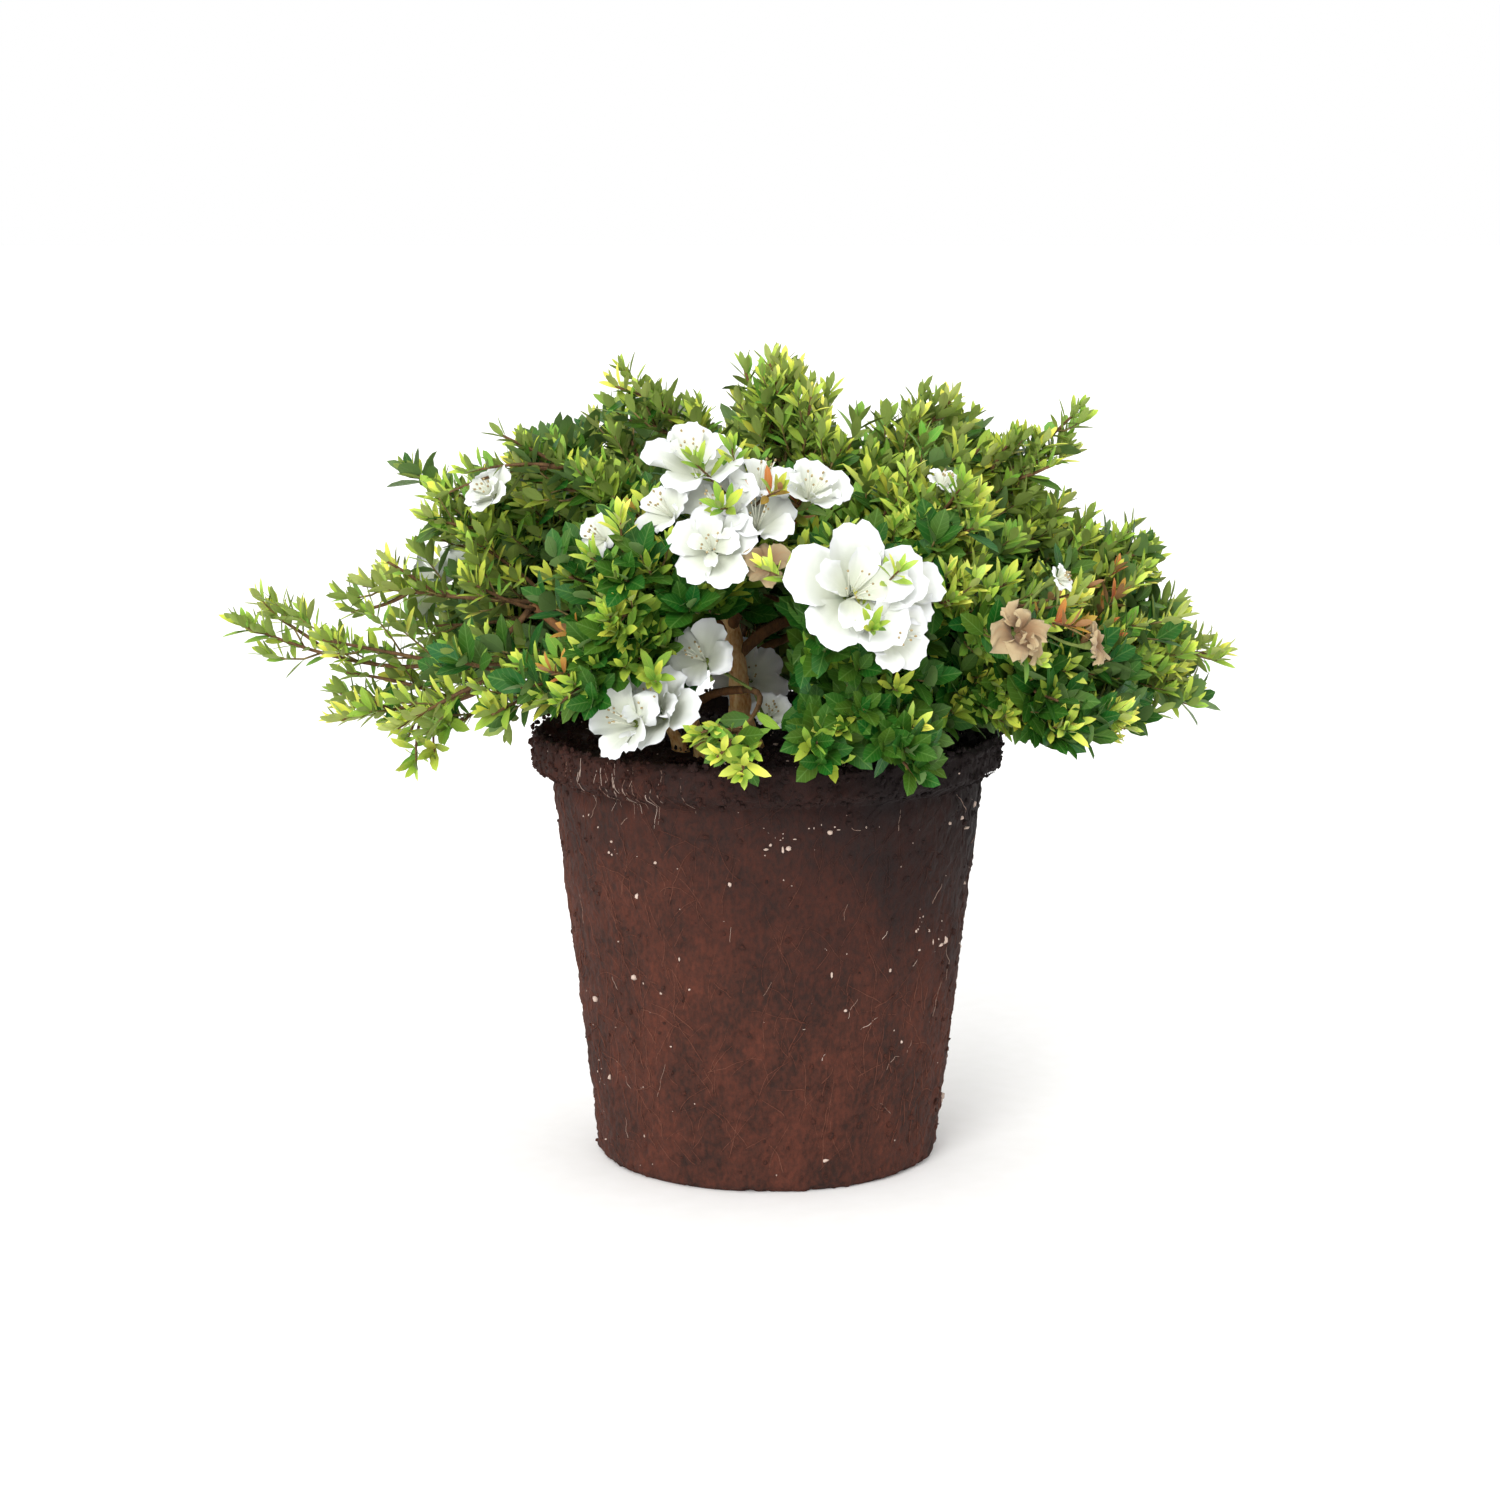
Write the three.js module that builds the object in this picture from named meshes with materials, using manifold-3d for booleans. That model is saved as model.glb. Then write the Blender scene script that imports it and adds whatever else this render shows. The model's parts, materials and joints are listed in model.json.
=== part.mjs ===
// White azalea shrub standing on the root ball that its nursery pot has moulded.
// Millimetres and degrees, +Z up. The origin is the middle of the root ball's flat
// underside, and the front of the shrub looks towards -Y.

import * as THREE from 'three';
import { mergeVertices } from 'three/addons/utils/BufferGeometryUtils.js';
import Module from 'manifold-3d';

// Clear gap that neighbouring pieces keep
const GAP = 0.3;

// Root ball: a tapered plug with the pot's collar round its top
const BALL_HEIGHT = 256;
const FOOT_RADIUS = 100;
const WAIST_RADIUS = 126;
const COLLAR_RADIUS = 140;
const COLLAR_HEIGHT = 27;
const BALL_EDGE = 4;
const BALL_SIDES = 40;
const SOIL_LEVEL = BALL_HEIGHT - 10;

// Trunk: from the flat cut on the soil to its fork, leaning to the left and a little back
const TRUNK_FOOT = new THREE.Vector3(-15, 0, SOIL_LEVEL + GAP);
const TRUNK_BEND = new THREE.Vector3(-15, 0, SOIL_LEVEL + 55);
const TRUNK_FORK = new THREE.Vector3(-29, 8, SOIL_LEVEL + 96);
const TRUNK_RADIUS = 6.6;
const FORK_RADIUS = 4.6;
const TRUNK_FLARE = 5.4;
const TRUNK_SIDES = 10;
const TRUNK_STEPS = 10;

// Boughs from the trunk or from another bough, and stems from the soil beside the trunk
const BOUGH_RADIUS = 3.6;
const SIDE_BOUGH_RADIUS = 3.0;
const STEM_RADIUS = 3.4;
const STEM_FLARE = 2.1;
const STEM_DISTANCE = 40;
const STEM_LEAN = 0.35;
const LIMB_TIP_RADIUS = 2.2;
const LIMB_SIDES = 5;
const LIMB_STEPS = 4;
const LIMB_LIFT = 0.42;
const FLARE_SHARE = 0.2;

// Crown: every mass of foliage is given by the direction and reach of its furthest tip,
// seen from the hub. Bearing is counted from +X towards +Y, and rise from the level.
const HUB = new THREE.Vector3(0, 0, 275);
const WOOD_SHARE = 0.46;
const ARCH = 13;
const STEEPEST = 88;
const BLEND_ANGLE = 17;
const TIP_ROUNDING = 1.2;
const REACH_SLACK = 3;
const UNDERSIDE = 250;

const MASSES = [
  { name: 'top_middle', bearing: 80, rise: 88, reach: 204, girth: 74, from: 'trunk', at: 1 },
  { name: 'top_left', bearing: 174, rise: 65, reach: 219, girth: 70, from: 'top_middle', at: 0.25 },
  { name: 'top_right', bearing: 20, rise: 60, reach: 210, girth: 70, from: 'top_middle', at: 0.45 },
  { name: 'left_shoulder', bearing: 177, rise: 31, reach: 258, girth: 70, from: 'trunk', at: 0.86 },
  { name: 'left_upper', bearing: 196, rise: 44, reach: 232, girth: 66, from: 'left_shoulder', at: 0.3 },
  { name: 'left_middle', bearing: 184, rise: 15, reach: 256, girth: 66, from: 'trunk', at: 0.62 },
  { name: 'left_low', bearing: 204, rise: -2, reach: 240, girth: 66, from: 'soil', lowest: 224 },
  { name: 'left_hanging', bearing: 188, rise: -3, reach: 264, girth: 54, from: 'left_low', at: 0.7 },
  { name: 'left_sprig', bearing: 189, rise: 8.5, reach: 322, girth: 40, from: 'left_low', at: 0.55 },
  { name: 'right_low', bearing: -3, rise: 5, reach: 277, girth: 72, from: 'trunk', at: 0.5 },
  { name: 'right_shoulder', bearing: 4, rise: 20, reach: 251, girth: 68, from: 'right_low', at: 0.4 },
  { name: 'right_upper', bearing: -6, rise: 42.5, reach: 257, girth: 62, from: 'trunk', at: 0.88 },
  { name: 'right_front_low', bearing: -29, rise: 0, reach: 234, girth: 68, from: 'soil' },
  { name: 'right_front', bearing: -46, rise: 15, reach: 232, girth: 68, from: 'right_front_low', at: 0.5 },
  { name: 'right_front_upper', bearing: -48, rise: 39, reach: 214, girth: 68, from: 'trunk', at: 0.8 },
  { name: 'front_right', bearing: -75, rise: 21, reach: 220, girth: 66, from: 'trunk', at: 0.68 },
  { name: 'front_low_right', bearing: -66, rise: -2, reach: 198, girth: 50, from: 'right_front_low', at: 0.3 },
  { name: 'front_upper', bearing: 262, rise: 44, reach: 212, girth: 70, from: 'top_middle', at: 0.2 },
  { name: 'front_left', bearing: 240, rise: 27, reach: 228, girth: 68, from: 'trunk', at: 0.74 },
  { name: 'front_low_left', bearing: 234, rise: 5, reach: 206, girth: 62, from: 'soil' },
  { name: 'front_low_middle', bearing: 261, rise: -3, reach: 192, girth: 50, from: 'front_low_left', at: 0.4 },
  { name: 'back_low', bearing: 97, rise: 3, reach: 226, girth: 76, from: 'soil' },
  { name: 'back_upper', bearing: 92, rise: 42, reach: 230, girth: 78, from: 'trunk', at: 0.84 },
  { name: 'back_left_low', bearing: 148, rise: 5, reach: 246, girth: 74, from: 'back_low', at: 0.35 },
  { name: 'back_left', bearing: 138, rise: 33, reach: 240, girth: 74, from: 'trunk', at: 0.7 },
  { name: 'back_right_low', bearing: 45, rise: 4, reach: 250, girth: 74, from: 'back_low', at: 0.5 },
  { name: 'back_right', bearing: 42, rise: 32, reach: 244, girth: 74, from: 'trunk', at: 0.78 },
];

// A gap in the foliage in front of the trunk, through which its bark shows from a little above
const WINDOW_HALF_WIDTH = 17;
const WINDOW_LOW = SOIL_LEVEL + 12;
const WINDOW_HIGH = SOIL_LEVEL + 72;
const WINDOW_RISE = 10;

// Twigs: a leader that runs to the mass's tip, and side twigs by the golden angle
const SEED = 47;
const SEED_STEP = 101;
const TURN_STEP = 67;
const GOLDEN_ANGLE = 137.5;
const SIDE_TWIGS = 4;
const LOWEST_TWIG = 0.12;
const HIGHEST_TWIG = 0.78;
const TWIG_SPREAD = 50;
const TWIG_SPREAD_VARIES = 16;
const TWIG_TURN_VARIES = 30;
const TWIG_SHARE = 0.76;
const TWIG_SHARE_LOST = 0.33;
const TWIG_SHARE_VARIES = 0.2;
const TWIG_SHORTENINGS = [1, 0.8, 0.62];
const TWIG_TESTS = [0.4, 0.6, 0.8, 1];
const SHORTEST_TWIG = 16;
const LEADER_BEND = 0.35;
const LEADER_STEPS = 3;
const LEADER_RADIUS = 2.0;
const TWIG_RADIUS = 1.6;
const TWIG_TIP_RADIUS = 1.4;
const TWIG_SIDES = 3;
const CLEARANCE = 1.1;
const LIMB_CLEARANCE = 2.2;
const SMALLEST_FACE = 0.1;

// Leaves, about half as large again as life, in a rosette below each twig's tip
const LEAF_LENGTH = 50;
const LEAF_WIDTH = 26;
const LEAF_THICKNESS = 1.3;
const LEAF_WIDEST = 0.58;
const LEAF_FOLD = 0.08;
const LEAF_OUTWARD = 0.5;
const LEAF_SKYWARD = 0.35;
const LEAF_ROOT = 0.3;
const LEAF_SPACING = 3.2;
const LEAF_TESTS = [0.25, 0.5, 0.75, 1];
const LEAF_SMALLEST = 0.86;
const LEAF_SIZE_VARIES = 0.26;
const ROSETTE_LEAVES = 6;
const ROSETTE_SHARE = 0.8;
const ROSETTE_TILT = 58;
const ROSETTE_TILT_VARIES = 24;
const ROSETTE_TURNS = [0, 30, -30, 60, -60, 90];

// Blossom: five ruffled lobes round a shallow funnel, on a stalk from the leader
const BLOOM_RADIUS = 34;
const BLOOM_SIDES = 10;
const BLOOM_NOTCH = 0.72;
const BLOOM_RUFFLE = 3;
const WILTED_RUFFLE = 6;
const BLOOM_DEPTH = 15;
const BLOOM_RIM = 1;
const BLOOM_THROAT = 4;
const STALK_SHARE = 0.3;
const STALK_BEND = 0.3;
const STALK_STEPS = 2;

const BLOOMS = [
  { bearing: -77, rise: 23, reach: 226 },
  { bearing: -68, rise: 15, reach: 218, radius: 24 },
  { bearing: -108, rise: 48, reach: 214 },
  { bearing: -89, rise: 47, reach: 202, radius: 30 },
  { bearing: -103, rise: 31, reach: 209 },
  { bearing: -125, rise: 38, reach: 212, radius: 27 },
  { bearing: -161, rise: 37, reach: 212, radius: 28 },
  { bearing: -152, rise: 11, reach: 214, radius: 30 },
  { bearing: -112, rise: 6, reach: 176, radius: 30 },
  { bearing: -50, rise: 41, reach: 208, radius: 24 },
  { bearing: -44, rise: 13, reach: 222, radius: 24, wilted: true },
  { bearing: -30, rise: 13, reach: 226, radius: 20, wilted: true },
  { bearing: 100, rise: 30, reach: 218 },
  { bearing: 120, rise: 52, reach: 206, radius: 30 },
  { bearing: 55, rise: 18, reach: 226, radius: 30 },
  { bearing: 150, rise: 20, reach: 226, radius: 28 },
  { bearing: 20, rise: 34, reach: 228, radius: 24, wilted: true },
];

const wasm = await Module();
wasm.setup();

// Colour and surface of each kind of piece
function soilFinish() {
  return new THREE.MeshStandardMaterial({ color: 0x4a2a1f, roughness: 1, metalness: 0 });
}

function barkFinish() {
  return new THREE.MeshStandardMaterial({ color: 0x8a5a3a, roughness: 0.85, metalness: 0 });
}

function leafFinish() {
  return new THREE.MeshStandardMaterial({ color: 0x5f8a2c, roughness: 0.55, metalness: 0 });
}

// Directions and random numbers
function heading(bearing, rise) {
  const turn = THREE.MathUtils.degToRad(bearing);
  const lift = THREE.MathUtils.degToRad(rise);
  return new THREE.Vector3(
    Math.cos(lift) * Math.cos(turn),
    Math.cos(lift) * Math.sin(turn),
    Math.sin(lift),
  );
}

function fromHub(bearing, rise, reach) {
  return heading(bearing, rise).multiplyScalar(reach).add(HUB);
}

// Two directions square to a given one, and to each other
function squareTo(direction) {
  const steep = Math.abs(direction.z) > 0.9;
  const helper = steep ? new THREE.Vector3(1, 0, 0) : new THREE.Vector3(0, 0, 1);
  const across = new THREE.Vector3().crossVectors(direction, helper).normalize();
  const over = new THREE.Vector3().crossVectors(across, direction).normalize();
  return { across, over };
}

// The direction that leaves a given one by a tilt, turned round it
function leaning(direction, tilt, turn) {
  const { across, over } = squareTo(direction);
  const away = Math.sin(THREE.MathUtils.degToRad(tilt));
  return direction.clone().multiplyScalar(Math.cos(THREE.MathUtils.degToRad(tilt)))
    .addScaledVector(across, away * Math.cos(THREE.MathUtils.degToRad(turn)))
    .addScaledVector(over, away * Math.sin(THREE.MathUtils.degToRad(turn)));
}

// Repeatable random numbers from 0 to 1
function seededRandom(seed) {
  let state = seed >>> 0;
  return () => {
    state = (state + 0x6d2b79f5) >>> 0;
    let mixed = Math.imul(state ^ (state >>> 15), state | 1);
    mixed ^= mixed + Math.imul(mixed ^ (mixed >>> 7), mixed | 61);
    return ((mixed ^ (mixed >>> 14)) >>> 0) / 4294967296;
  };
}

function around(random, middle, range) {
  return middle + (random() - 0.5) * range;
}

// From three.js geometry to a solid, and back
function toSolid(geometry) {
  geometry.deleteAttribute('normal');
  geometry.deleteAttribute('uv');
  const merged = mergeVertices(geometry, 1e-3);
  return new wasm.Manifold(new wasm.Mesh({
    numProp: 3,
    vertProperties: merged.attributes.position.array,
    triVerts: new Uint32Array(merged.index.array),
  }));
}

function toGeometry(solid) {
  const mesh = solid.getMesh();
  const geometry = new THREE.BufferGeometry();
  geometry.setAttribute('position', new THREE.BufferAttribute(mesh.vertProperties, 3));
  geometry.setIndex(new THREE.BufferAttribute(mesh.triVerts, 1));
  geometry.computeVertexNormals();
  return geometry;
}

function largestPart(solid) {
  return solid.decompose().sort((a, b) => b.volume() - a.volume())[0];
}

// Moves every vertex of a geometry to where a function puts it
function reshape(geometry, placeAt) {
  const position = geometry.attributes.position;
  for (let i = 0; i < position.count; i += 1) {
    const place = placeAt(position.getX(i), position.getY(i), position.getZ(i));
    position.setXYZ(i, place.x, place.y, place.z);
  }
  return toSolid(geometry);
}

// A closed cylinder of unit size, bent along a curve and given its radius along the way.
// The overhang is how far its two ends stand out beyond those of the curve.
function taperedSolid(curve, radiusAt, sides, steps, overhang) {
  const frames = curve.computeFrenetFrames(steps, false);
  return reshape(new THREE.CylinderGeometry(1, 1, 1, sides, steps), (x, y, z) => {
    const step = Math.round((y + 0.5) * steps);
    const radius = radiusAt(step / steps);
    const beyond = overhang * (Math.floor(step / steps) - Math.floor(1 - step / steps));
    return curve.getPointAt(step / steps)
      .addScaledVector(frames.tangents[step], beyond)
      .addScaledVector(frames.binormals[step], x * radius)
      .addScaledVector(frames.normals[step], z * radius);
  });
}

// A leaf of eight faces: root, tip, two raised edges and the two sides of its midrib
function leafSolid(leaf) {
  return reshape(new THREE.OctahedronGeometry(1, 0), (x, y, z) => {
    const along = Math.abs(y) > 0.5 ? (y + 1) / 2 : LEAF_WIDEST;
    const above = z * LEAF_THICKNESS / 2 + Math.abs(x) * LEAF_FOLD * leaf.width;
    return leaf.root.clone()
      .addScaledVector(leaf.along, along * leaf.length)
      .addScaledVector(leaf.aside, x * leaf.width / 2)
      .addScaledVector(leaf.above, above);
  });
}

// A bloom's rim steps out to five lobes and back to the notches between them
function bloomSolid(bloom) {
  const profile = [
    new THREE.Vector2(0, -BLOOM_DEPTH),
    new THREE.Vector2(1, -BLOOM_RIM),
    new THREE.Vector2(1, BLOOM_RIM),
    new THREE.Vector2(0, BLOOM_THROAT - BLOOM_DEPTH),
  ];
  const ruffle = bloom.wilted ? WILTED_RUFFLE : BLOOM_RUFFLE;
  return reshape(new THREE.LatheGeometry(profile, BLOOM_SIDES), (x, y, z) => {
    const side = Math.round(Math.atan2(x, z) * BLOOM_SIDES / (2 * Math.PI));
    const notched = Math.abs(side) % 2 === 1;
    const radius = bloom.radius * (notched ? BLOOM_NOTCH : 1);
    const wave = notched ? -ruffle : ruffle;
    return bloom.centre.clone()
      .addScaledVector(bloom.across, x * radius)
      .addScaledVector(bloom.over, z * radius)
      .addScaledVector(bloom.facing, y + Math.hypot(x, z) * wave);
  });
}

// Root ball
function rootBallSolid() {
  const collarFoot = BALL_HEIGHT - COLLAR_HEIGHT;
  const profile = [
    new THREE.Vector2(0, 0),
    new THREE.Vector2(FOOT_RADIUS - BALL_EDGE, 0),
    new THREE.Vector2(FOOT_RADIUS, BALL_EDGE),
    new THREE.Vector2(WAIST_RADIUS, collarFoot - BALL_EDGE),
    new THREE.Vector2(COLLAR_RADIUS - BALL_EDGE, collarFoot),
    new THREE.Vector2(COLLAR_RADIUS, collarFoot + BALL_EDGE),
    new THREE.Vector2(COLLAR_RADIUS, BALL_HEIGHT - BALL_EDGE),
    new THREE.Vector2(COLLAR_RADIUS - BALL_EDGE, BALL_HEIGHT),
    new THREE.Vector2(COLLAR_RADIUS - 2 * BALL_EDGE, BALL_HEIGHT),
    new THREE.Vector2(WAIST_RADIUS - BALL_EDGE, SOIL_LEVEL),
    new THREE.Vector2(0, SOIL_LEVEL),
  ];
  const geometry = new THREE.LatheGeometry(profile, BALL_SIDES);
  geometry.rotateX(Math.PI / 2);
  return toSolid(geometry);
}

// Limbs: each has a curve, a radius along it, and the points that foliage keeps clear of
function makeLimb(curve, footRadius, tipRadius, flare, sides, steps) {
  const radiusAt = (share) => THREE.MathUtils.lerp(footRadius, tipRadius, share)
    + flare * Math.max(0, 1 - share / FLARE_SHARE) ** 2;
  const spine = curve.getSpacedPoints(2 * steps);
  const radii = spine.map((point, i) => radiusAt(i / (2 * steps)));
  return { curve, radiusAt, sides, steps, spine, radii };
}

function limbSolid(limb, swelling) {
  const radiusAt = (share) => limb.radiusAt(share) + swelling;
  return taperedSolid(limb.curve, radiusAt, limb.sides, limb.steps, swelling);
}

function trunkLimb() {
  const curve = new THREE.QuadraticBezierCurve3(TRUNK_FOOT, TRUNK_BEND, TRUNK_FORK);
  return makeLimb(curve, TRUNK_RADIUS, FORK_RADIUS, TRUNK_FLARE, TRUNK_SIDES, TRUNK_STEPS);
}

function bendTowards(start, leave, end, share) {
  const bend = start.clone().addScaledVector(leave, start.distanceTo(end) * share);
  return new THREE.QuadraticBezierCurve3(start, bend, end);
}

// A stem starts in the soil beside the trunk, where it is cut flat afterwards
function stemLimb(mass) {
  const outward = heading(mass.bearing, 0);
  const leave = new THREE.Vector3(0, 0, 1).addScaledVector(outward, STEM_LEAN).normalize();
  const start = TRUNK_FOOT.clone().addScaledVector(outward, STEM_DISTANCE)
    .addScaledVector(leave, -STEM_RADIUS);
  const curve = bendTowards(start, leave, mass.foot, LIMB_LIFT);
  return makeLimb(curve, STEM_RADIUS, LIMB_TIP_RADIUS, STEM_FLARE, LIMB_SIDES, LIMB_STEPS);
}

// A bough sets out half way between its parent's direction and its own. One that goes on
// from its parent's end sets out straight ahead, the clear gap beyond it.
function boughLimb(mass, parent) {
  const ahead = parent.curve.getTangentAt(mass.at);
  const start = parent.curve.getPointAt(mass.at);
  const leave = mass.foot.clone().sub(start).normalize().add(ahead).normalize();
  if (mass.at === 1) {
    start.addScaledVector(ahead, GAP);
    leave.copy(ahead);
  }
  const radius = mass.from === 'trunk' ? BOUGH_RADIUS : SIDE_BOUGH_RADIUS;
  const curve = bendTowards(start, leave, mass.foot, LIMB_LIFT);
  return makeLimb(curve, radius, LIMB_TIP_RADIUS, 0, LIMB_SIDES, LIMB_STEPS);
}

// The leader runs on from the limb's tip to where its last leaf touches the crown's outline
function leaderLimb(mass) {
  const ahead = mass.limb.curve.getTangentAt(1);
  const axis = mass.tip.clone().sub(mass.foot).normalize();
  const start = mass.foot.clone().addScaledVector(ahead, GAP);
  const end = mass.tip.clone().addScaledVector(axis, -LEAF_LENGTH * LEAF_SMALLEST);
  const curve = bendTowards(start, ahead, end, LEADER_BEND);
  return makeLimb(curve, LEADER_RADIUS, TWIG_TIP_RADIUS, 0, TWIG_SIDES, LEADER_STEPS);
}

// The space that foliage may fill
function distanceToStretch(point, from, to) {
  const stretch = to.clone().sub(from);
  const share = point.clone().sub(from).dot(stretch) / stretch.lengthSq();
  return point.distanceTo(from.clone().addScaledVector(stretch, THREE.MathUtils.clamp(share, 0, 1)));
}

function clearOfLimb(point, limb) {
  for (let i = 1; i < limb.spine.length; i += 1) {
    const radius = Math.max(limb.radii[i - 1], limb.radii[i]);
    if (distanceToStretch(point, limb.spine[i - 1], limb.spine[i]) < radius + LIMB_CLEARANCE) {
      return false;
    }
  }
  return true;
}

function clearOfBall(point) {
  return point.z > BALL_HEIGHT + LIMB_CLEARANCE
    || Math.hypot(point.x, point.y) > COLLAR_RADIUS + LIMB_CLEARANCE;
}

function clearOfWindow(point) {
  const seenLevel = point.z + point.y * Math.tan(THREE.MathUtils.degToRad(WINDOW_RISE));
  return point.y > 0 || seenLevel < WINDOW_LOW || seenLevel > WINDOW_HIGH
    || Math.abs(point.x - TRUNK_FOOT.x) > WINDOW_HALF_WIDTH;
}

// A bloom owns a short round space in front of and behind its rim
function clearOfBloom(point, bloom) {
  const offset = point.clone().sub(bloom.centre);
  const height = offset.dot(bloom.facing);
  const outward = offset.addScaledVector(bloom.facing, -height).length();
  return outward > bloom.radius + CLEARANCE
    || height > WILTED_RUFFLE + BLOOM_RIM + CLEARANCE
    || height < -BLOOM_DEPTH - CLEARANCE;
}

// The crown's outline in any direction is the mean of the masses' reaches, where those
// whose tips lie near that direction count most
function crownReach(outward, masses) {
  let weights = 0;
  let reaches = 0;
  for (const mass of masses) {
    const apart = THREE.MathUtils.radToDeg(outward.angleTo(mass.towards));
    const weight = Math.exp(-((apart / BLEND_ANGLE) ** 2));
    weights += weight;
    reaches += weight * mass.reach;
  }
  return reaches / weights;
}

// Close to its own tip a mass may stand out from that outline
function withinReach(point, own, crown) {
  const outward = point.clone().sub(HUB);
  const tipReach = own.reach * (1 - TIP_ROUNDING * outward.angleTo(own.towards) ** 2);
  const reach = Math.max(tipReach, crownReach(outward, crown.masses));
  return point.z > own.lowest && outward.length() < reach + REACH_SLACK;
}

// A mass keeps to the points that lie nearer to its own axis than to any other's
function withinOwnSpace(point, own, crown) {
  const near = distanceToStretch(point, own.foot, own.tip);
  return near < own.girth && crown.masses.every((other) => other === own
    || distanceToStretch(point, other.foot, other.tip) > near + CLEARANCE);
}

function hasRoom(point, own, crown) {
  return clearOfBall(point) && clearOfWindow(point)
    && withinOwnSpace(point, own, crown) && withinReach(point, own, crown)
    && crown.limbs.every((limb) => clearOfLimb(point, limb))
    && crown.masses.every((other) => other === own || clearOfLimb(point, other.leader))
    && crown.blooms.every((bloom) => bloom.owner === own || clearOfBloom(point, bloom));
}

// A leaf turns its upper face along its shoot, outward, and a little to the sky
function makeLeaf(place, along, ahead, size) {
  const facing = ahead.clone().addScaledVector(place.clone().sub(HUB).normalize(), LEAF_OUTWARD);
  facing.z += LEAF_SKYWARD;
  const aside = new THREE.Vector3().crossVectors(along, facing).normalize();
  const above = new THREE.Vector3().crossVectors(aside, along).normalize();
  const root = place.clone().addScaledVector(along, -LEAF_ROOT);
  return { root, along, aside, above, length: LEAF_LENGTH * size, width: LEAF_WIDTH * size };
}

function leafHasRoom(leaf, own, crown) {
  return LEAF_TESTS.every((along) => {
    const taper = Math.min(along / LEAF_WIDEST, (1 - along) / (1 - LEAF_WIDEST));
    const middle = leaf.root.clone().addScaledVector(leaf.along, along * leaf.length);
    return [-1, 0, 1].every((side) => {
      const edge = middle.clone().addScaledVector(leaf.aside, side * taper * leaf.width / 2);
      return hasRoom(edge, own, crown);
    });
  });
}

// Leaves in a ring below a shoot's tip, after one that carries the shoot on. Each takes
// the first turn round the shoot at which it has room and crosses nothing that is there.
function rosette(shoot, random, own, crown, taken) {
  const end = shoot.curve.getPointAt(1);
  const last = end.clone().sub(shoot.curve.getPointAt(1 - 1 / shoot.steps));
  const spacing = Math.min(LEAF_SPACING, ROSETTE_SHARE * last.length() / ROSETTE_LEAVES);
  const ahead = last.normalize();
  const startTurn = 360 * random();
  const leaves = [];
  for (let i = 0; i <= ROSETTE_LEAVES; i += 1) {
    const first = i === 0;
    const tilt = around(random, ROSETTE_TILT, ROSETTE_TILT_VARIES);
    const larger = LEAF_SIZE_VARIES * random();
    const place = end.clone().addScaledVector(ahead, -i * spacing);
    for (const more of first ? [0] : ROSETTE_TURNS) {
      const along = leaning(ahead, first ? 0 : tilt, startTurn + i * GOLDEN_ANGLE + more);
      const leaf = makeLeaf(place, along, ahead, LEAF_SMALLEST + (first ? 0 : larger));
      if (leafHasRoom(leaf, own, crown)) {
        const solid = leafSolid(leaf);
        if ([...taken, ...leaves].every((other) => solid.intersect(other).isEmpty())) {
          leaves.push(solid);
          break;
        }
      }
    }
  }
  return leaves;
}

// A side twig is straight, and is shortened until it has room
function sideTwig(leader, own, crown, index, random) {
  const share = THREE.MathUtils.lerp(LOWEST_TWIG, HIGHEST_TWIG, index / (SIDE_TWIGS - 1));
  const start = leader.getPointAt(share);
  const turn = around(random, own.turn + index * GOLDEN_ANGLE, TWIG_TURN_VARIES);
  const tilt = around(random, TWIG_SPREAD, TWIG_SPREAD_VARIES);
  const varied = around(random, 1, TWIG_SHARE_VARIES);
  const full = leader.getLength() * (TWIG_SHARE - TWIG_SHARE_LOST * share) * varied;
  const out = leaning(leader.getTangentAt(share), tilt, turn);
  for (const length of TWIG_SHORTENINGS.map((part) => part * full)) {
    const curve = new THREE.LineCurve3(start, start.clone().addScaledVector(out, length));
    const fits = TWIG_TESTS.every((part) => hasRoom(curve.getPointAt(part), own, crown));
    if (fits && length > SHORTEST_TWIG) {
      return curve;
    }
  }
  return null;
}

// A bloom's stalk leaves the leader early and runs into the back of the funnel
function stalkCurve(leader, bloom) {
  const back = bloom.centre.clone()
    .addScaledVector(bloom.facing, BLOOM_THROAT / 2 - BLOOM_DEPTH);
  const start = leader.getPointAt(STALK_SHARE);
  const bend = back.clone().addScaledVector(bloom.facing, -STALK_BEND * start.distanceTo(back));
  return new THREE.QuadraticBezierCurve3(start, bend, back);
}

function makeShoot(curve, footRadius, steps) {
  const radiusAt = (share) => THREE.MathUtils.lerp(footRadius, TWIG_TIP_RADIUS, share);
  return { curve, steps, solid: taperedSolid(curve, radiusAt, TWIG_SIDES, steps, 0) };
}

// One mass: leader, side twigs, blooms on their stalks and leaves, fused into one solid
function massSolid(own, crown, seed) {
  const random = seededRandom(seed);
  const leader = own.leader.curve;
  const shoots = [makeShoot(leader, LEADER_RADIUS, LEADER_STEPS)];
  for (let index = 0; index < SIDE_TWIGS; index += 1) {
    const curve = sideTwig(leader, own, crown, index, random);
    if (curve) {
      shoots.push(makeShoot(curve, TWIG_RADIUS, 1));
    }
  }
  const blossom = [];
  for (const bloom of crown.blooms.filter((each) => each.owner === own)) {
    const stalk = makeShoot(stalkCurve(leader, bloom), TWIG_RADIUS, STALK_STEPS);
    blossom.push(stalk.solid, bloomSolid(bloom));
  }
  const leaves = [];
  for (const shoot of shoots) {
    const others = shoots.filter((other) => other !== shoot).map((other) => other.solid);
    leaves.push(...rosette(shoot, random, own, crown, [...others, ...blossom, ...leaves]));
  }
  const wood = shoots.map((shoot) => shoot.solid);
  const fused = wasm.Manifold.union([...wood, ...blossom, ...leaves]);
  return largestPart(fused.simplify(SMALLEST_FACE));
}

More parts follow.
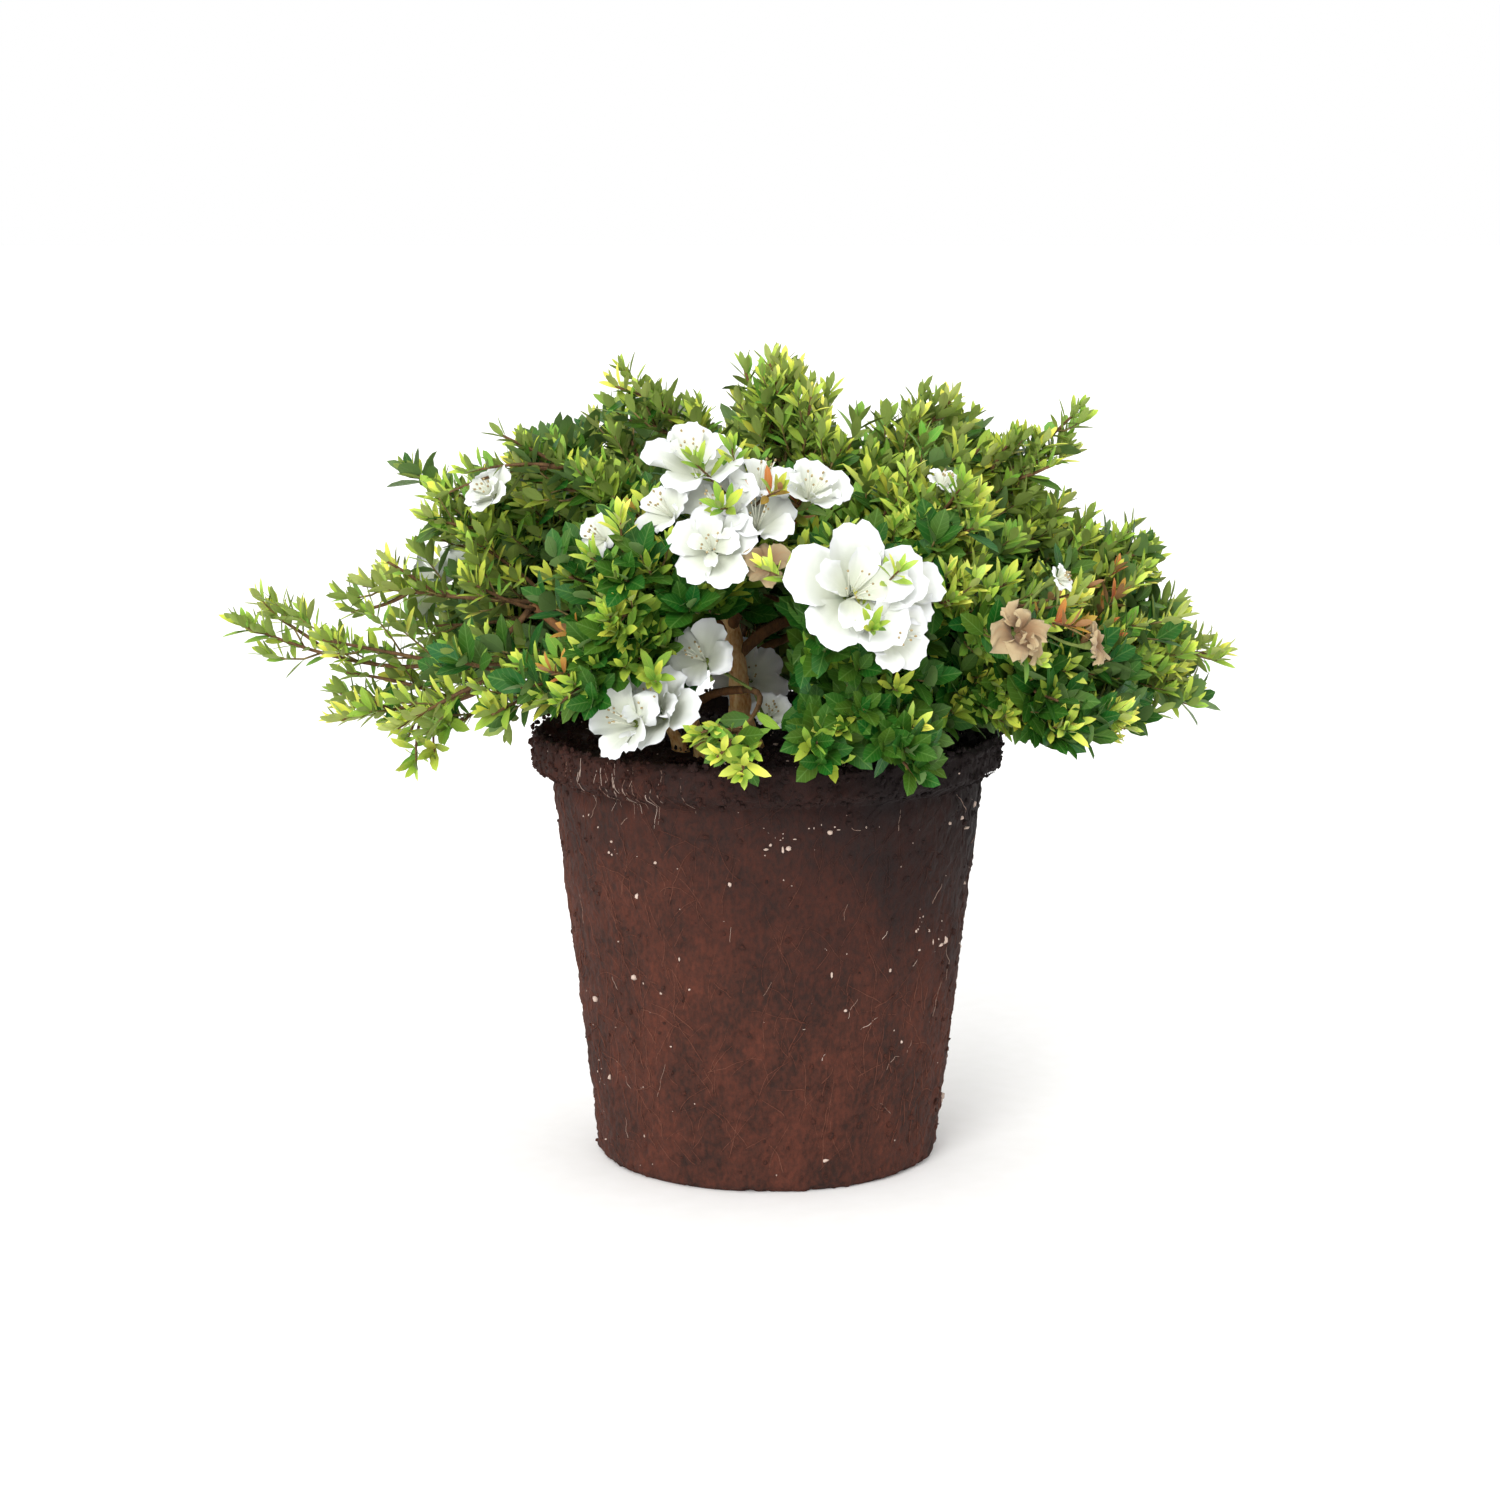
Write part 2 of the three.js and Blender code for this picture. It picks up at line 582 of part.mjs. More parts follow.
// The crown's plan: masses in order, each with the limb that carries it
function planMasses(trunk) {
  const limbs = new Map([['trunk', trunk]]);
  return MASSES.map((row, index) => {
    const foot = fromHub(row.bearing, Math.min(row.rise + ARCH, STEEPEST), row.reach * WOOD_SHARE);
    const tip = fromHub(row.bearing, row.rise, row.reach);
    const towards = heading(row.bearing, row.rise);
    const mass = { lowest: UNDERSIDE, turn: index * TURN_STEP, ...row, foot, tip, towards };
    mass.limb = row.from === 'soil' ? stemLimb(mass) : boughLimb(mass, limbs.get(row.from));
    mass.leader = leaderLimb(mass);
    limbs.set(row.name, mass.limb);
    return mass;
  });
}

// Each bloom belongs to the mass whose axis it lies nearest to, and faces away from the hub
function planBlooms(masses) {
  return BLOOMS.map((row) => {
    const centre = fromHub(row.bearing, row.rise, row.reach);
    const facing = heading(row.bearing, row.rise);
    const distanceTo = (mass) => distanceToStretch(centre, mass.foot, mass.tip);
    const owner = [...masses].sort((a, b) => distanceTo(a) - distanceTo(b))[0];
    return { radius: BLOOM_RADIUS, ...row, ...squareTo(facing), centre, facing, owner };
  });
}

// The whole shrub
const shrub = new THREE.Group();

function addMesh(name, solid, material) {
  const mesh = new THREE.Mesh(toGeometry(solid), material);
  mesh.name = name;
  shrub.add(mesh);
}

const trunk = trunkLimb();
const masses = planMasses(trunk);
const limbs = [trunk, ...masses.map((mass) => mass.limb)];
const crown = { masses, limbs, blooms: planBlooms(masses) };

addMesh('root_ball', rootBallSolid(), soilFinish());
addMesh('trunk', limbSolid(trunk, 0), barkFinish());

// Every limb is cut back from the soil and from the limbs before it by the clear gap
const soilBlock = new THREE.BoxGeometry(2 * COLLAR_RADIUS, 2 * COLLAR_RADIUS, BALL_HEIGHT);
soilBlock.translate(0, 0, SOIL_LEVEL + GAP - BALL_HEIGHT / 2);
let cutter = toSolid(soilBlock).add(limbSolid(trunk, GAP));
for (const mass of masses) {
  const kind = mass.from === 'soil' ? 'stem' : 'bough';
  addMesh(`${kind}_${mass.name}`, largestPart(limbSolid(mass.limb, 0).subtract(cutter)), barkFinish());
  cutter = cutter.add(limbSolid(mass.limb, GAP));
}

masses.forEach((mass, index) => {
  const solid = massSolid(mass, crown, SEED + index * SEED_STEP);
  addMesh(`foliage_${mass.name}`, solid, leafFinish());
});

export default shrub;
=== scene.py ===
"""White azalea shrub on its root ball: bark, twigs, leaves, flowers and the root ball's soil.

Metres, +Z up. The origin is the middle of the root ball's flat underside, and the front of
the shrub looks towards -Y.
"""
import functools
import json
import math
from typing import NamedTuple

import bmesh
import bpy
import numpy as np
from bpy.props import FloatProperty, FloatVectorProperty, IntProperty, PointerProperty
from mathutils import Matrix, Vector

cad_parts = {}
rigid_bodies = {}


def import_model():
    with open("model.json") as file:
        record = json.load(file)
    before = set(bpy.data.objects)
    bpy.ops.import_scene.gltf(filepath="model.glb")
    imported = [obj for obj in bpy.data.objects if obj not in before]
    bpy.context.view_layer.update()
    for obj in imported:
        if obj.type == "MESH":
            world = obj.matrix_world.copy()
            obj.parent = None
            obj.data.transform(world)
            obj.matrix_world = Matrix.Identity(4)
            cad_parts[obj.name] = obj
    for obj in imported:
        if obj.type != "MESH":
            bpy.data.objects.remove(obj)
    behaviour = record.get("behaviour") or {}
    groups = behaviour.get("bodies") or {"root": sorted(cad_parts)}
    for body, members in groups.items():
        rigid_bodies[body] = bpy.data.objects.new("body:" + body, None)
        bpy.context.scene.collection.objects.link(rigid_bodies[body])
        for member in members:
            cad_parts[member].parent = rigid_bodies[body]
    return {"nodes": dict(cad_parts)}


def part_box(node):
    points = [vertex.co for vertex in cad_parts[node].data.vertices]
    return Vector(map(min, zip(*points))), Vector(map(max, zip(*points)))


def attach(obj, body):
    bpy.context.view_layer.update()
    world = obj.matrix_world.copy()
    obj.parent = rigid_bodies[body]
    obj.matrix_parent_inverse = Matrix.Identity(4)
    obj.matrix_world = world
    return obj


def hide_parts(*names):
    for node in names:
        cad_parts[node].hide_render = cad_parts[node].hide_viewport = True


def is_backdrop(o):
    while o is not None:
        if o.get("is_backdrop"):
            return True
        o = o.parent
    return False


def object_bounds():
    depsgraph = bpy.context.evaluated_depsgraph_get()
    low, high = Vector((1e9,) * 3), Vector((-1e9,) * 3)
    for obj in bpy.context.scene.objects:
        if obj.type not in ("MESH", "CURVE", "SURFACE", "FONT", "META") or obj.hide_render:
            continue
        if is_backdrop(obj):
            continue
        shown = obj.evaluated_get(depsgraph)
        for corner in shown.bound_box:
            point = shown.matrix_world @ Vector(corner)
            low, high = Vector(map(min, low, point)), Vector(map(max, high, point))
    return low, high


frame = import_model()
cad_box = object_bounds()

bl_info = {
    "name": "Azalea on its root ball",
    "version": (1, 0, 0),
    "blender": (4, 5, 0),
    "location": "View3D > Sidebar > Azalea",
    "description": "Bark, twigs, leaves, flowers and root ball of a white azalea",
    "category": "Object",
}

# Root ball, as in the frame: a tapered plug with a collar round its top
BALL_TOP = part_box("root_ball")[1]
BALL_HEIGHT = BALL_TOP.z
COLLAR_RADIUS = BALL_TOP.x
FOOT_RADIUS = 0.100
WAIST_RADIUS = 0.126
COLLAR_HEIGHT = 0.024
SOIL_LEVEL = BALL_HEIGHT - 0.010
SOIL_RADIUS = COLLAR_RADIUS - 0.018
BALL_EDGE = 0.004

# Trunk, from just above the soil to its fork
GAP = 0.0003
TRUNK_FOOT = np.array((-0.015, 0.0, SOIL_LEVEL + GAP))
TRUNK_BEND = np.array((-0.015, 0.0, SOIL_LEVEL + 0.055))
TRUNK_FORK = np.array((-0.029, 0.008, SOIL_LEVEL + 0.096))
TRUNK_RADIUS = 0.0066
FORK_RADIUS = 0.0046
TRUNK_FLARE = 0.0054

# Boughs and stems: radii, flare, a stem's distance from the trunk, and how a limb sets out
BOUGH_RADIUS = 0.0036
SIDE_BOUGH_RADIUS = 0.0030
STEM_RADIUS = 0.0034
STEM_FLARE = 0.0021
STEM_DISTANCE = 0.040
STEM_LEAN = 0.35
LIMB_TIP_RADIUS = 0.0022
LIMB_LIFT = 0.42
FLARE_SHARE = 0.2

# The masses of foliage are placed by their directions from the hub, and a mass begins at
# this share of its reach, where its limb ends
HUB = np.array((0.0, 0.0, 0.275))
SKYWARD = np.array((0.0, 0.0, 1.0))
WOOD_SHARE = 0.46
# Degrees by which a limb climbs over its mass's direction, and the steepest that it may
ARCH = 13
STEEPEST = 88
# The crown's outline: how far masses blend, and how deep it falls between their tips
BLEND_ANGLE = 17
TIP_ROUNDING = 1.8
SLENDER_ROUNDING = 6.0
VALLEY = 0.26
SLENDER_VALLEY = 0.65
UNDERSIDE = 0.250


class Mass(NamedTuple):
    """A mass of foliage: where its furthest tip lies, and what its limb grows from.

    Fullness scales its number of twigs, shade is the share of its shoots with broad dark
    leaves, lift turns its shoots up to the sky, slender narrows it towards its tip, and sag
    lets its leader hang.
    """

    name: str
    bearing: float
    rise: float
    reach: float
    girth: float
    parent: str
    share: float = 0.0
    fullness: float = 1.0
    shade: float = 0.0
    lift: float = 0.42
    slender: float = 0.0
    sag: float = 0.0
    lowest: float = UNDERSIDE


MASSES = (
    Mass("top_middle", 80, 88, 0.204, 0.074, "trunk", 1),
    Mass("top_left", 174, 65, 0.219, 0.070, "top_middle", 0.25, slender=0.6),
    Mass("top_right", 20, 60, 0.210, 0.070, "top_middle", 0.45),
    Mass("left_shoulder", 177, 31, 0.258, 0.070, "trunk", 0.86, 1.1, 0.1, slender=0.5),
    Mass("left_upper", 196, 44, 0.232, 0.066, "left_shoulder", 0.3, 1.3, 0.1, slender=1.2),
    Mass("left_middle", 184, 15, 0.256, 0.066, "trunk", 0.62, 0.4, 0.1, 0.3, 0.3),
    Mass("left_low", 204, -2, 0.240, 0.066, "soil", 0, 0.42, 0.15, 0.1, 0.3, 0.0, 0.224),
    Mass("left_hanging", 188, -3, 0.264, 0.054, "left_low", 0.7, 0.45, 0.0, 0.1, 0.1, 0.014),
    Mass("left_sprig", 189, 8.5, 0.322, 0.040, "left_low", 0.55, 0.3, 0.0, 0.4, 0.0, 0.052),
    Mass("right_low", -3, 5, 0.277, 0.072, "trunk", 0.5, 1.2, 0.15, 0.2, lowest=0.258),
    Mass("right_shoulder", 4, 20, 0.251, 0.068, "right_low", 0.4, 1.3, 0.1, slender=0.3),
    Mass("right_upper", -6, 42.5, 0.257, 0.062, "trunk", 0.88, 1.2, slender=1.5),
    Mass("right_front_low", -29, 0, 0.234, 0.068, "soil", 0, 1.6, 0.4, 0.05, lowest=0.262),
    Mass("right_front", -46, 15, 0.232, 0.068, "right_front_low", 0.5, 1.2, 0.15),
    Mass("right_front_upper", -48, 39, 0.214, 0.068, "trunk", 0.8, 1.2, 0.1),
    Mass("front_right", -75, 21, 0.220, 0.066, "trunk", 0.68, 1.3, 0.4),
    Mass("front_low_right", -66, -2, 0.198, 0.050, "right_front_low", 0.3, 1.0, 0.7, 0.05),
    Mass("front_upper", 262, 44, 0.212, 0.070, "top_middle", 0.2, 1.2, 0.1),
    Mass("front_left", 240, 27, 0.228, 0.068, "trunk", 0.74, 1.2, 0.5),
    Mass("front_low_left", 234, 5, 0.206, 0.062, "soil", 0, 1.5, 0.45, 0.1),
    Mass("front_low_middle", 261, -3, 0.192, 0.050, "front_low_left", 0.4, 0.6, 0.1, 0.2),
    Mass("back_low", 97, 3, 0.226, 0.076, "soil", 0, 1.6, 0.35, 0.1),
    Mass("back_upper", 92, 42, 0.230, 0.078, "trunk", 0.84, 1.4, 0.1),
    Mass("back_left_low", 148, 5, 0.246, 0.074, "back_low", 0.35, 1.5, 0.3, 0.15),
    Mass("back_left", 138, 33, 0.240, 0.074, "trunk", 0.7, 1.4, 0.2),
    Mass("back_right_low", 45, 4, 0.250, 0.074, "back_low", 0.5, 1.6, 0.3, 0.15),
    Mass("back_right", 42, 32, 0.244, 0.074, "trunk", 0.78, 1.5, 0.2),
)

MASSES_BY_NAME = {mass.name: mass for mass in MASSES}

# The camera looks down at this angle on the front of the shrub
CAMERA_DIP = 10

# A gap in the foliage in front of the trunk, through which its bark shows
WINDOW_HALF_WIDTH = 0.013
WINDOW_SPREAD = 0.12
WINDOW_LOW = SOIL_LEVEL + 0.012
WINDOW_HIGH = SOIL_LEVEL + 0.070
WINDOW_SLOPE = math.tan(math.radians(CAMERA_DIP))

# Branching
GOLDEN_ANGLE = 137.5
LEADER_RADIUS = 0.0020
TWIG_RADIUS = 0.0014
SHOOT_RADIUS = 0.0008
SHOOT_TIP_RADIUS = 0.0005

# Single shoots, by bearing, rise and reach: between the flowers, with spent leaves at the
# right, hanging at the left, and filling the underside at the back left
LONE_SHOOTS = (
    (-71.5, 24.5, 0.252),
    (-76.5, 16.0, 0.250),
    (-98.0, 47.0, 0.228),
    (-87.0, 38.5, 0.226),
    (-106.0, 43.0, 0.232),
    (-99.0, 35.0, 0.226),
    (-93.0, 27.0, 0.226),
    (-115.0, 34.0, 0.232),
    (-163.0, 30.0, 0.238),
    (-160.0, 35.0, 0.236),
    (-51.0, 39.0, 0.226),
    (104.0, 33.0, 0.236),
    (59.0, 20.0, 0.250),
    (150.0, 17.0, 0.250),
    (-34.0, 19.5, 0.238),
    (-37.0, 17.5, 0.238),
    (-42.0, 14.0, 0.246),
    (-168.0, -12.2, 0.215),
    (-166.5, -11.0, 0.203),
    (-170.0, -7.6, 0.219),
    (-167.0, -6.9, 0.193),
    (-163.5, -9.0, 0.159),
    (138.0, -1.0, 0.125),
    (150.0, -2.0, 0.118),
    (163.0, -1.0, 0.125),
    (143.0, -3.0, 0.150),
    (156.0, -3.0, 0.152),
    (168.0, -2.0, 0.158),
    (150.0, 2.0, 0.136),
    (162.0, 4.0, 0.142),
    (133.0, -3.0, 0.160),
)

# Stretches of the crown with spent leaves, each from its outside in
SPENT_STRETCHES = (
    ((-35, 19, 0.240), (-11, 18.5, 0.210)),
    ((-42, 14, 0.248), (-20, 14, 0.200)),
    ((-84, 38, 0.210), (-84, 44, 0.172)),
    ((-120, 37, 0.212), (-125, 40, 0.190)),
    ((-130, 14, 0.196), (-131, 16, 0.184)),
    ((60, 40, 0.225), (60, 40, 0.200)),
    ((170, 18, 0.240), (170, 18, 0.215)),
)


class Flower(NamedTuple):
    """A flower: where its rim's middle lies from the hub, and how it is turned and raised.

    A doubled flower has a second whorl, and wilt goes from 0, open, to 1, spent.
    """

    bearing: float
    rise: float
    reach: float
    radius: float
    turned: float = 0.0
    raised: float = 0.0
    doubled: bool = False
    wilt: float = 0.0


FLOWERS = (
    Flower(-77, 23, 0.226, 0.039, 0, 0, True),
    Flower(-71, 16.5, 0.219, 0.023, 8, -12),
    Flower(-68.5, 24.5, 0.215, 0.025, 16, 6),
    Flower(-107, 48, 0.206, 0.030, 8, 10, True),
    Flower(-101, 40, 0.199, 0.026, -18, 4),
    Flower(-100.5, 32, 0.201, 0.026, 6, -8, True),
    Flower(-91, 47, 0.194, 0.023, 30, 18),
    Flower(-92, 39, 0.195, 0.024, 12, 12),
    Flower(-80.5, 43, 0.201, 0.022, 12, 8, True),
    Flower(-112, 39, 0.200, 0.020, -22, 0),
    Flower(-123, 32.5, 0.205, 0.015, -12, -6),
    Flower(-159, 36.5, 0.212, 0.017, 34, 0, True),
    Flower(-48, 43, 0.200, 0.012, 0, 12),
    Flower(-41, 22, 0.230, 0.009, 12, 0),
    Flower(-109, 18, 0.128, 0.021, -6, 6),
    Flower(-115, 6, 0.154, 0.028, -6, 28, True),
    Flower(-119, 3, 0.168, 0.023, -12, 18),
    Flower(112, 12, 0.028, 0.023, 160, 8),
    Flower(-88, -1, 0.058, 0.014, 10, 40),
    Flower(-50.6, 15.5, 0.229, 0.023, 6, 0, True, 0.9),
    Flower(-39.5, 12.4, 0.242, 0.016, 12, 6, False, 1.0),
    Flower(-90.5, 30, 0.200, 0.016, 6, 0, False, 0.8),
    Flower(100, 30, 0.208, 0.036, 0, 0, True),
    Flower(108, 40, 0.206, 0.028, 10, 10),
    Flower(90, 37, 0.206, 0.028, -14, 4, True),
    Flower(120, 50, 0.198, 0.030, 0, 6, True),
    Flower(55, 18, 0.216, 0.034, 0, 0, True),
    Flower(63, 25, 0.212, 0.026, 12, 8),
    Flower(150, 20, 0.220, 0.032, 0, 6, True),
    Flower(158, 13, 0.232, 0.026, 14, -6),
    Flower(36, 30, 0.216, 0.022, 0, 0, True, 0.9),
    Flower(33, 8, 0.232, 0.030, 0, 6, True),
    Flower(84, 52, 0.198, 0.026, 0, 0),
)


# Directions and curves
def heading(bearing, rise):
    """The direction with this bearing from +X towards +Y, and this rise from the level."""
    turn, lift = math.radians(bearing), math.radians(rise)
    return np.array(
        (math.cos(lift) * math.cos(turn), math.cos(lift) * math.sin(turn), math.sin(lift))
    )


def from_hub(bearing, rise, reach):
    """The point that lies this far from the hub in that direction."""
    return HUB + heading(bearing, rise) * reach


def unit(vectors):
    """Vectors of length one, along the last axis."""
    vectors = np.asarray(vectors, float)
    return vectors / np.maximum(np.linalg.norm(vectors, axis=-1, keepdims=True), 1e-12)


def level_directions(turn):
    """The level directions at given turns from +X."""
    return np.stack((np.cos(turn), np.sin(turn), np.zeros_like(turn)), -1)


def square_to(direction):
    """Two directions square to each given one and to each other."""
    direction = np.asarray(direction, float)
    steep = np.abs(direction[..., 2:3]) > 0.9
    helper = np.where(steep, (1.0, 0.0, 0.0), (0.0, 0.0, 1.0))
    across = unit(np.cross(direction, helper))
    return across, np.cross(across, direction)


def leaning(direction, tilt, turn):
    """The directions that leave given ones by a tilt, turned round them, both in degrees."""
    across, over = square_to(direction)
    tilt = np.radians(np.asarray(tilt, float))[..., None]
    turn = np.radians(np.asarray(turn, float))[..., None]
    aside = across * np.cos(turn) + over * np.sin(turn)
    return direction * np.cos(tilt) + aside * np.sin(tilt)


class Curve:
    """A curve with one bend, read by the share of its own length."""

    STEPS = 40
    LOOK_AHEAD = 0.02

    def __init__(self, start, bend, end):
        share = np.linspace(0, 1, self.STEPS)[:, None]
        self.points = (1 - share) ** 2 * start + 2 * share * (1 - share) * bend + share**2 * end
        lengths = np.linalg.norm(np.diff(self.points, axis=0), axis=1)
        self.reached = np.concatenate(([0.0], np.cumsum(lengths)))
        self.length = self.reached[-1]

    def at(self, share):
        """The point, or points, at a share of the length."""
        wanted = np.asarray(share, float) * self.length
        return np.stack(
            [np.interp(wanted, self.reached, self.points[:, k]) for k in range(3)], axis=-1
        )

    def ahead(self, share):
        """The direction at a share of the length."""
        low, high = max(share - self.LOOK_AHEAD, 0.0), min(share + self.LOOK_AHEAD, 1.0)
        return unit(self.at(high) - self.at(low))


def bend_towards(start, leave, end, share):
    """A curve that sets out in one direction and bends to its end."""
    return Curve(start, start + leave * np.linalg.norm(end - start) * share, end)


def distance_to_stretches(points, starts, ends):
    """The distances of N points from M straight stretches, as N rows."""
    stretch = ends - starts
    squared = np.maximum((stretch**2).sum(1), 1e-12)
    offset = points[:, None, :] - starts[None]
    share = np.clip((offset * stretch).sum(2) / squared, 0, 1)
    return np.linalg.norm(offset - share[..., None] * stretch, axis=2)


class Limb(NamedTuple):
    """The trunk, a stem or a bough: its curve, and what gives its radius along it."""

    curve: Curve
    foot_radius: float
    tip_radius: float
    flare: float = 0.0

    def radius(self, share):
        """The radius at a share of the length, with the root flare at the foot."""
        share = np.asarray(share, float)
        taper = self.foot_radius + (self.tip_radius - self.foot_radius) * share
        return taper + self.flare * np.maximum(0, 1 - share / FLARE_SHARE) ** 2


# The crown's plan, by the rule of the frame's own solids
class Crown:
    """Limbs, masses and flowers, and the space that each mass may fill."""

    # How far growth may pass a mass's reach and its girth, and how far two masses may mingle
    SLACK = 0.003
    SIDE_SLACK = 0.014
    SHARED_EDGE = 0.003
    # The gap that it keeps to wood and soil
    CLEARANCE = 0.0012
    # The straight steps that stand for a limb, and the disc kept clear for a flower
    SPINE_STEPS = 8
    FLOWER_SHARE = 0.86
    FLOWER_HALF_DEPTH = 0.008

    def __init__(self):
        trunk = Curve(TRUNK_FOOT, TRUNK_BEND, TRUNK_FORK)
        self.limbs = {"trunk": Limb(trunk, TRUNK_RADIUS, FORK_RADIUS, TRUNK_FLARE)}
        rises = [min(m.rise + ARCH, STEEPEST) for m in MASSES]
        self.feet = np.array(
            [from_hub(m.bearing, r, m.reach * WOOD_SHARE) for m, r in zip(MASSES, rises)]
        )
        self.tips = np.array([from_hub(m.bearing, m.rise, m.reach) for m in MASSES])
        self.towards = np.array([heading(m.bearing, m.rise) for m in MASSES])
        self.reaches = np.array([m.reach for m in MASSES])
        for index, mass in enumerate(MASSES):
            self.limbs[mass.name] = self.limb_of(mass, self.feet[index])
        shares = np.linspace(0, 1, self.SPINE_STEPS + 1)
        spines = [limb.curve.at(shares) for limb in self.limbs.values()]
        self.spine_starts = np.concatenate([s[:-1] for s in spines])
        self.spine_ends = np.concatenate([s[1:] for s in spines])
        self.spine_radii = np.concatenate([limb.radius(shares[:-1]) for limb in self.limbs.values()])
        self.flower_centres = np.array([from_hub(f.bearing, f.rise, f.reach) for f in FLOWERS])
        self.flower_facings = np.array(
            [heading(f.bearing + f.turned, f.rise + f.raised) for f in FLOWERS]
        )
        self.flower_radii = np.array([f.radius for f in FLOWERS])
        near = distance_to_stretches(self.flower_centres, self.feet, self.tips)
        self.flower_owners = near.argmin(1)

    def limb_of(self, mass, foot):
        """The stem from the soil, or the bough from its parent, that carries a mass."""
        if mass.parent == "soil":
            outward = heading(mass.bearing, 0)
            leave = unit(SKYWARD + outward * STEM_LEAN)
            start = TRUNK_FOOT + outward * STEM_DISTANCE - leave * STEM_RADIUS
            curve = bend_towards(start, leave, foot, LIMB_LIFT)
            return Limb(curve, STEM_RADIUS, LIMB_TIP_RADIUS, STEM_FLARE)
        parent = self.limbs[mass.parent]
        ahead = parent.curve.ahead(mass.share)
        start = parent.curve.at(mass.share)
        leave = ahead if mass.share == 1 else unit(unit(foot - start) + ahead)
        radius = BOUGH_RADIUS if mass.parent == "trunk" else SIDE_BOUGH_RADIUS
        return Limb(bend_towards(start, leave, foot, LIMB_LIFT), radius, LIMB_TIP_RADIUS)

    def outline(self, outward):
        """The crown's reach in given directions: the mean of the masses' own, nearest first."""
        cosines = np.clip(unit(outward) @ self.towards.T, -1, 1)
        apart = np.degrees(np.arccos(cosines))
        weights = np.exp(-((apart / BLEND_ANGLE) ** 2)) + 1e-9
        return (weights * self.reaches).sum(1) / weights.sum(1), apart

    def room(self, points, own):
        """Which points lie in a mass's own space and clear of everything else."""
        near = distance_to_stretches(points, self.feet, self.tips)
        mass = MASSES[own]
        slack = self.SIDE_SLACK * min(mass.fullness, 1) ** 3 * max(1 - mass.slender, 0)
        fits = near[:, own] < mass.girth + slack
        fits &= near[:, own] < near.min(1) + self.SHARED_EDGE
        return fits & self.clear(points, own)

    def off_ball(self, points):
        """Which points lie clear of the root ball."""
        beside = np.hypot(points[:, 0], points[:, 1]) > COLLAR_RADIUS + self.CLEARANCE
        return beside | (points[:, 2] > BALL_HEIGHT + self.CLEARANCE)

    def clear(self, points, own, margin=0.0):
        """Which points lie in reach, and clear of root ball, window, limbs and flowers."""
        mass = MASSES[own]
        outward = points - HUB
        blended, apart = self.outline(outward)
        aside = np.radians(apart[:, own])
        rounding = TIP_ROUNDING + SLENDER_ROUNDING * mass.slender
        valley = VALLEY + SLENDER_VALLEY * mass.slender
        tip_reach = mass.reach * (1 - rounding * aside**2)
        reach = np.maximum(blended - valley * aside * mass.reach, tip_reach) + self.SLACK - margin
        fits = np.linalg.norm(outward, axis=1) < reach
        fits &= points[:, 2] > mass.lowest - self.SLACK
        fits &= self.off_ball(points)
        seen_level = points[:, 2] + points[:, 1] * WINDOW_SLOPE
        half_width = WINDOW_HALF_WIDTH - WINDOW_SPREAD * points[:, 1]
        in_window = np.abs(points[:, 0] - TRUNK_FOOT[0]) < half_width
        in_window &= (seen_level > WINDOW_LOW) & (seen_level < WINDOW_HIGH)
        fits &= ~(in_window & (points[:, 1] < 0))
        wood = distance_to_stretches(points, self.spine_starts, self.spine_ends)
        fits &= (wood > self.spine_radii + self.CLEARANCE).all(1)
        offset = points[:, None, :] - self.flower_centres[None]
        height = (offset * self.flower_facings).sum(2)
        aside = np.linalg.norm(offset - height[..., None] * self.flower_facings, axis=2)
        in_flower = aside < self.flower_radii * self.FLOWER_SHARE
        in_flower &= (height > -self.FLOWER_HALF_DEPTH) & (height < self.FLOWER_HALF_DEPTH)
        return fits & ~in_flower.any(1)


# What a twig is: one of this year's shoots, a side twig, a mass's leader or a lone shoot
SHOOT, SIDE_TWIG, LEADER, LONE_SHOOT = range(4)


class Twig(NamedTuple):
    """A twig's curve with its radii at the foot and the tip, what it is, and its mass."""

    curve: Curve
    foot_radius: float
    tip_radius: float
    kind: int
    own: int


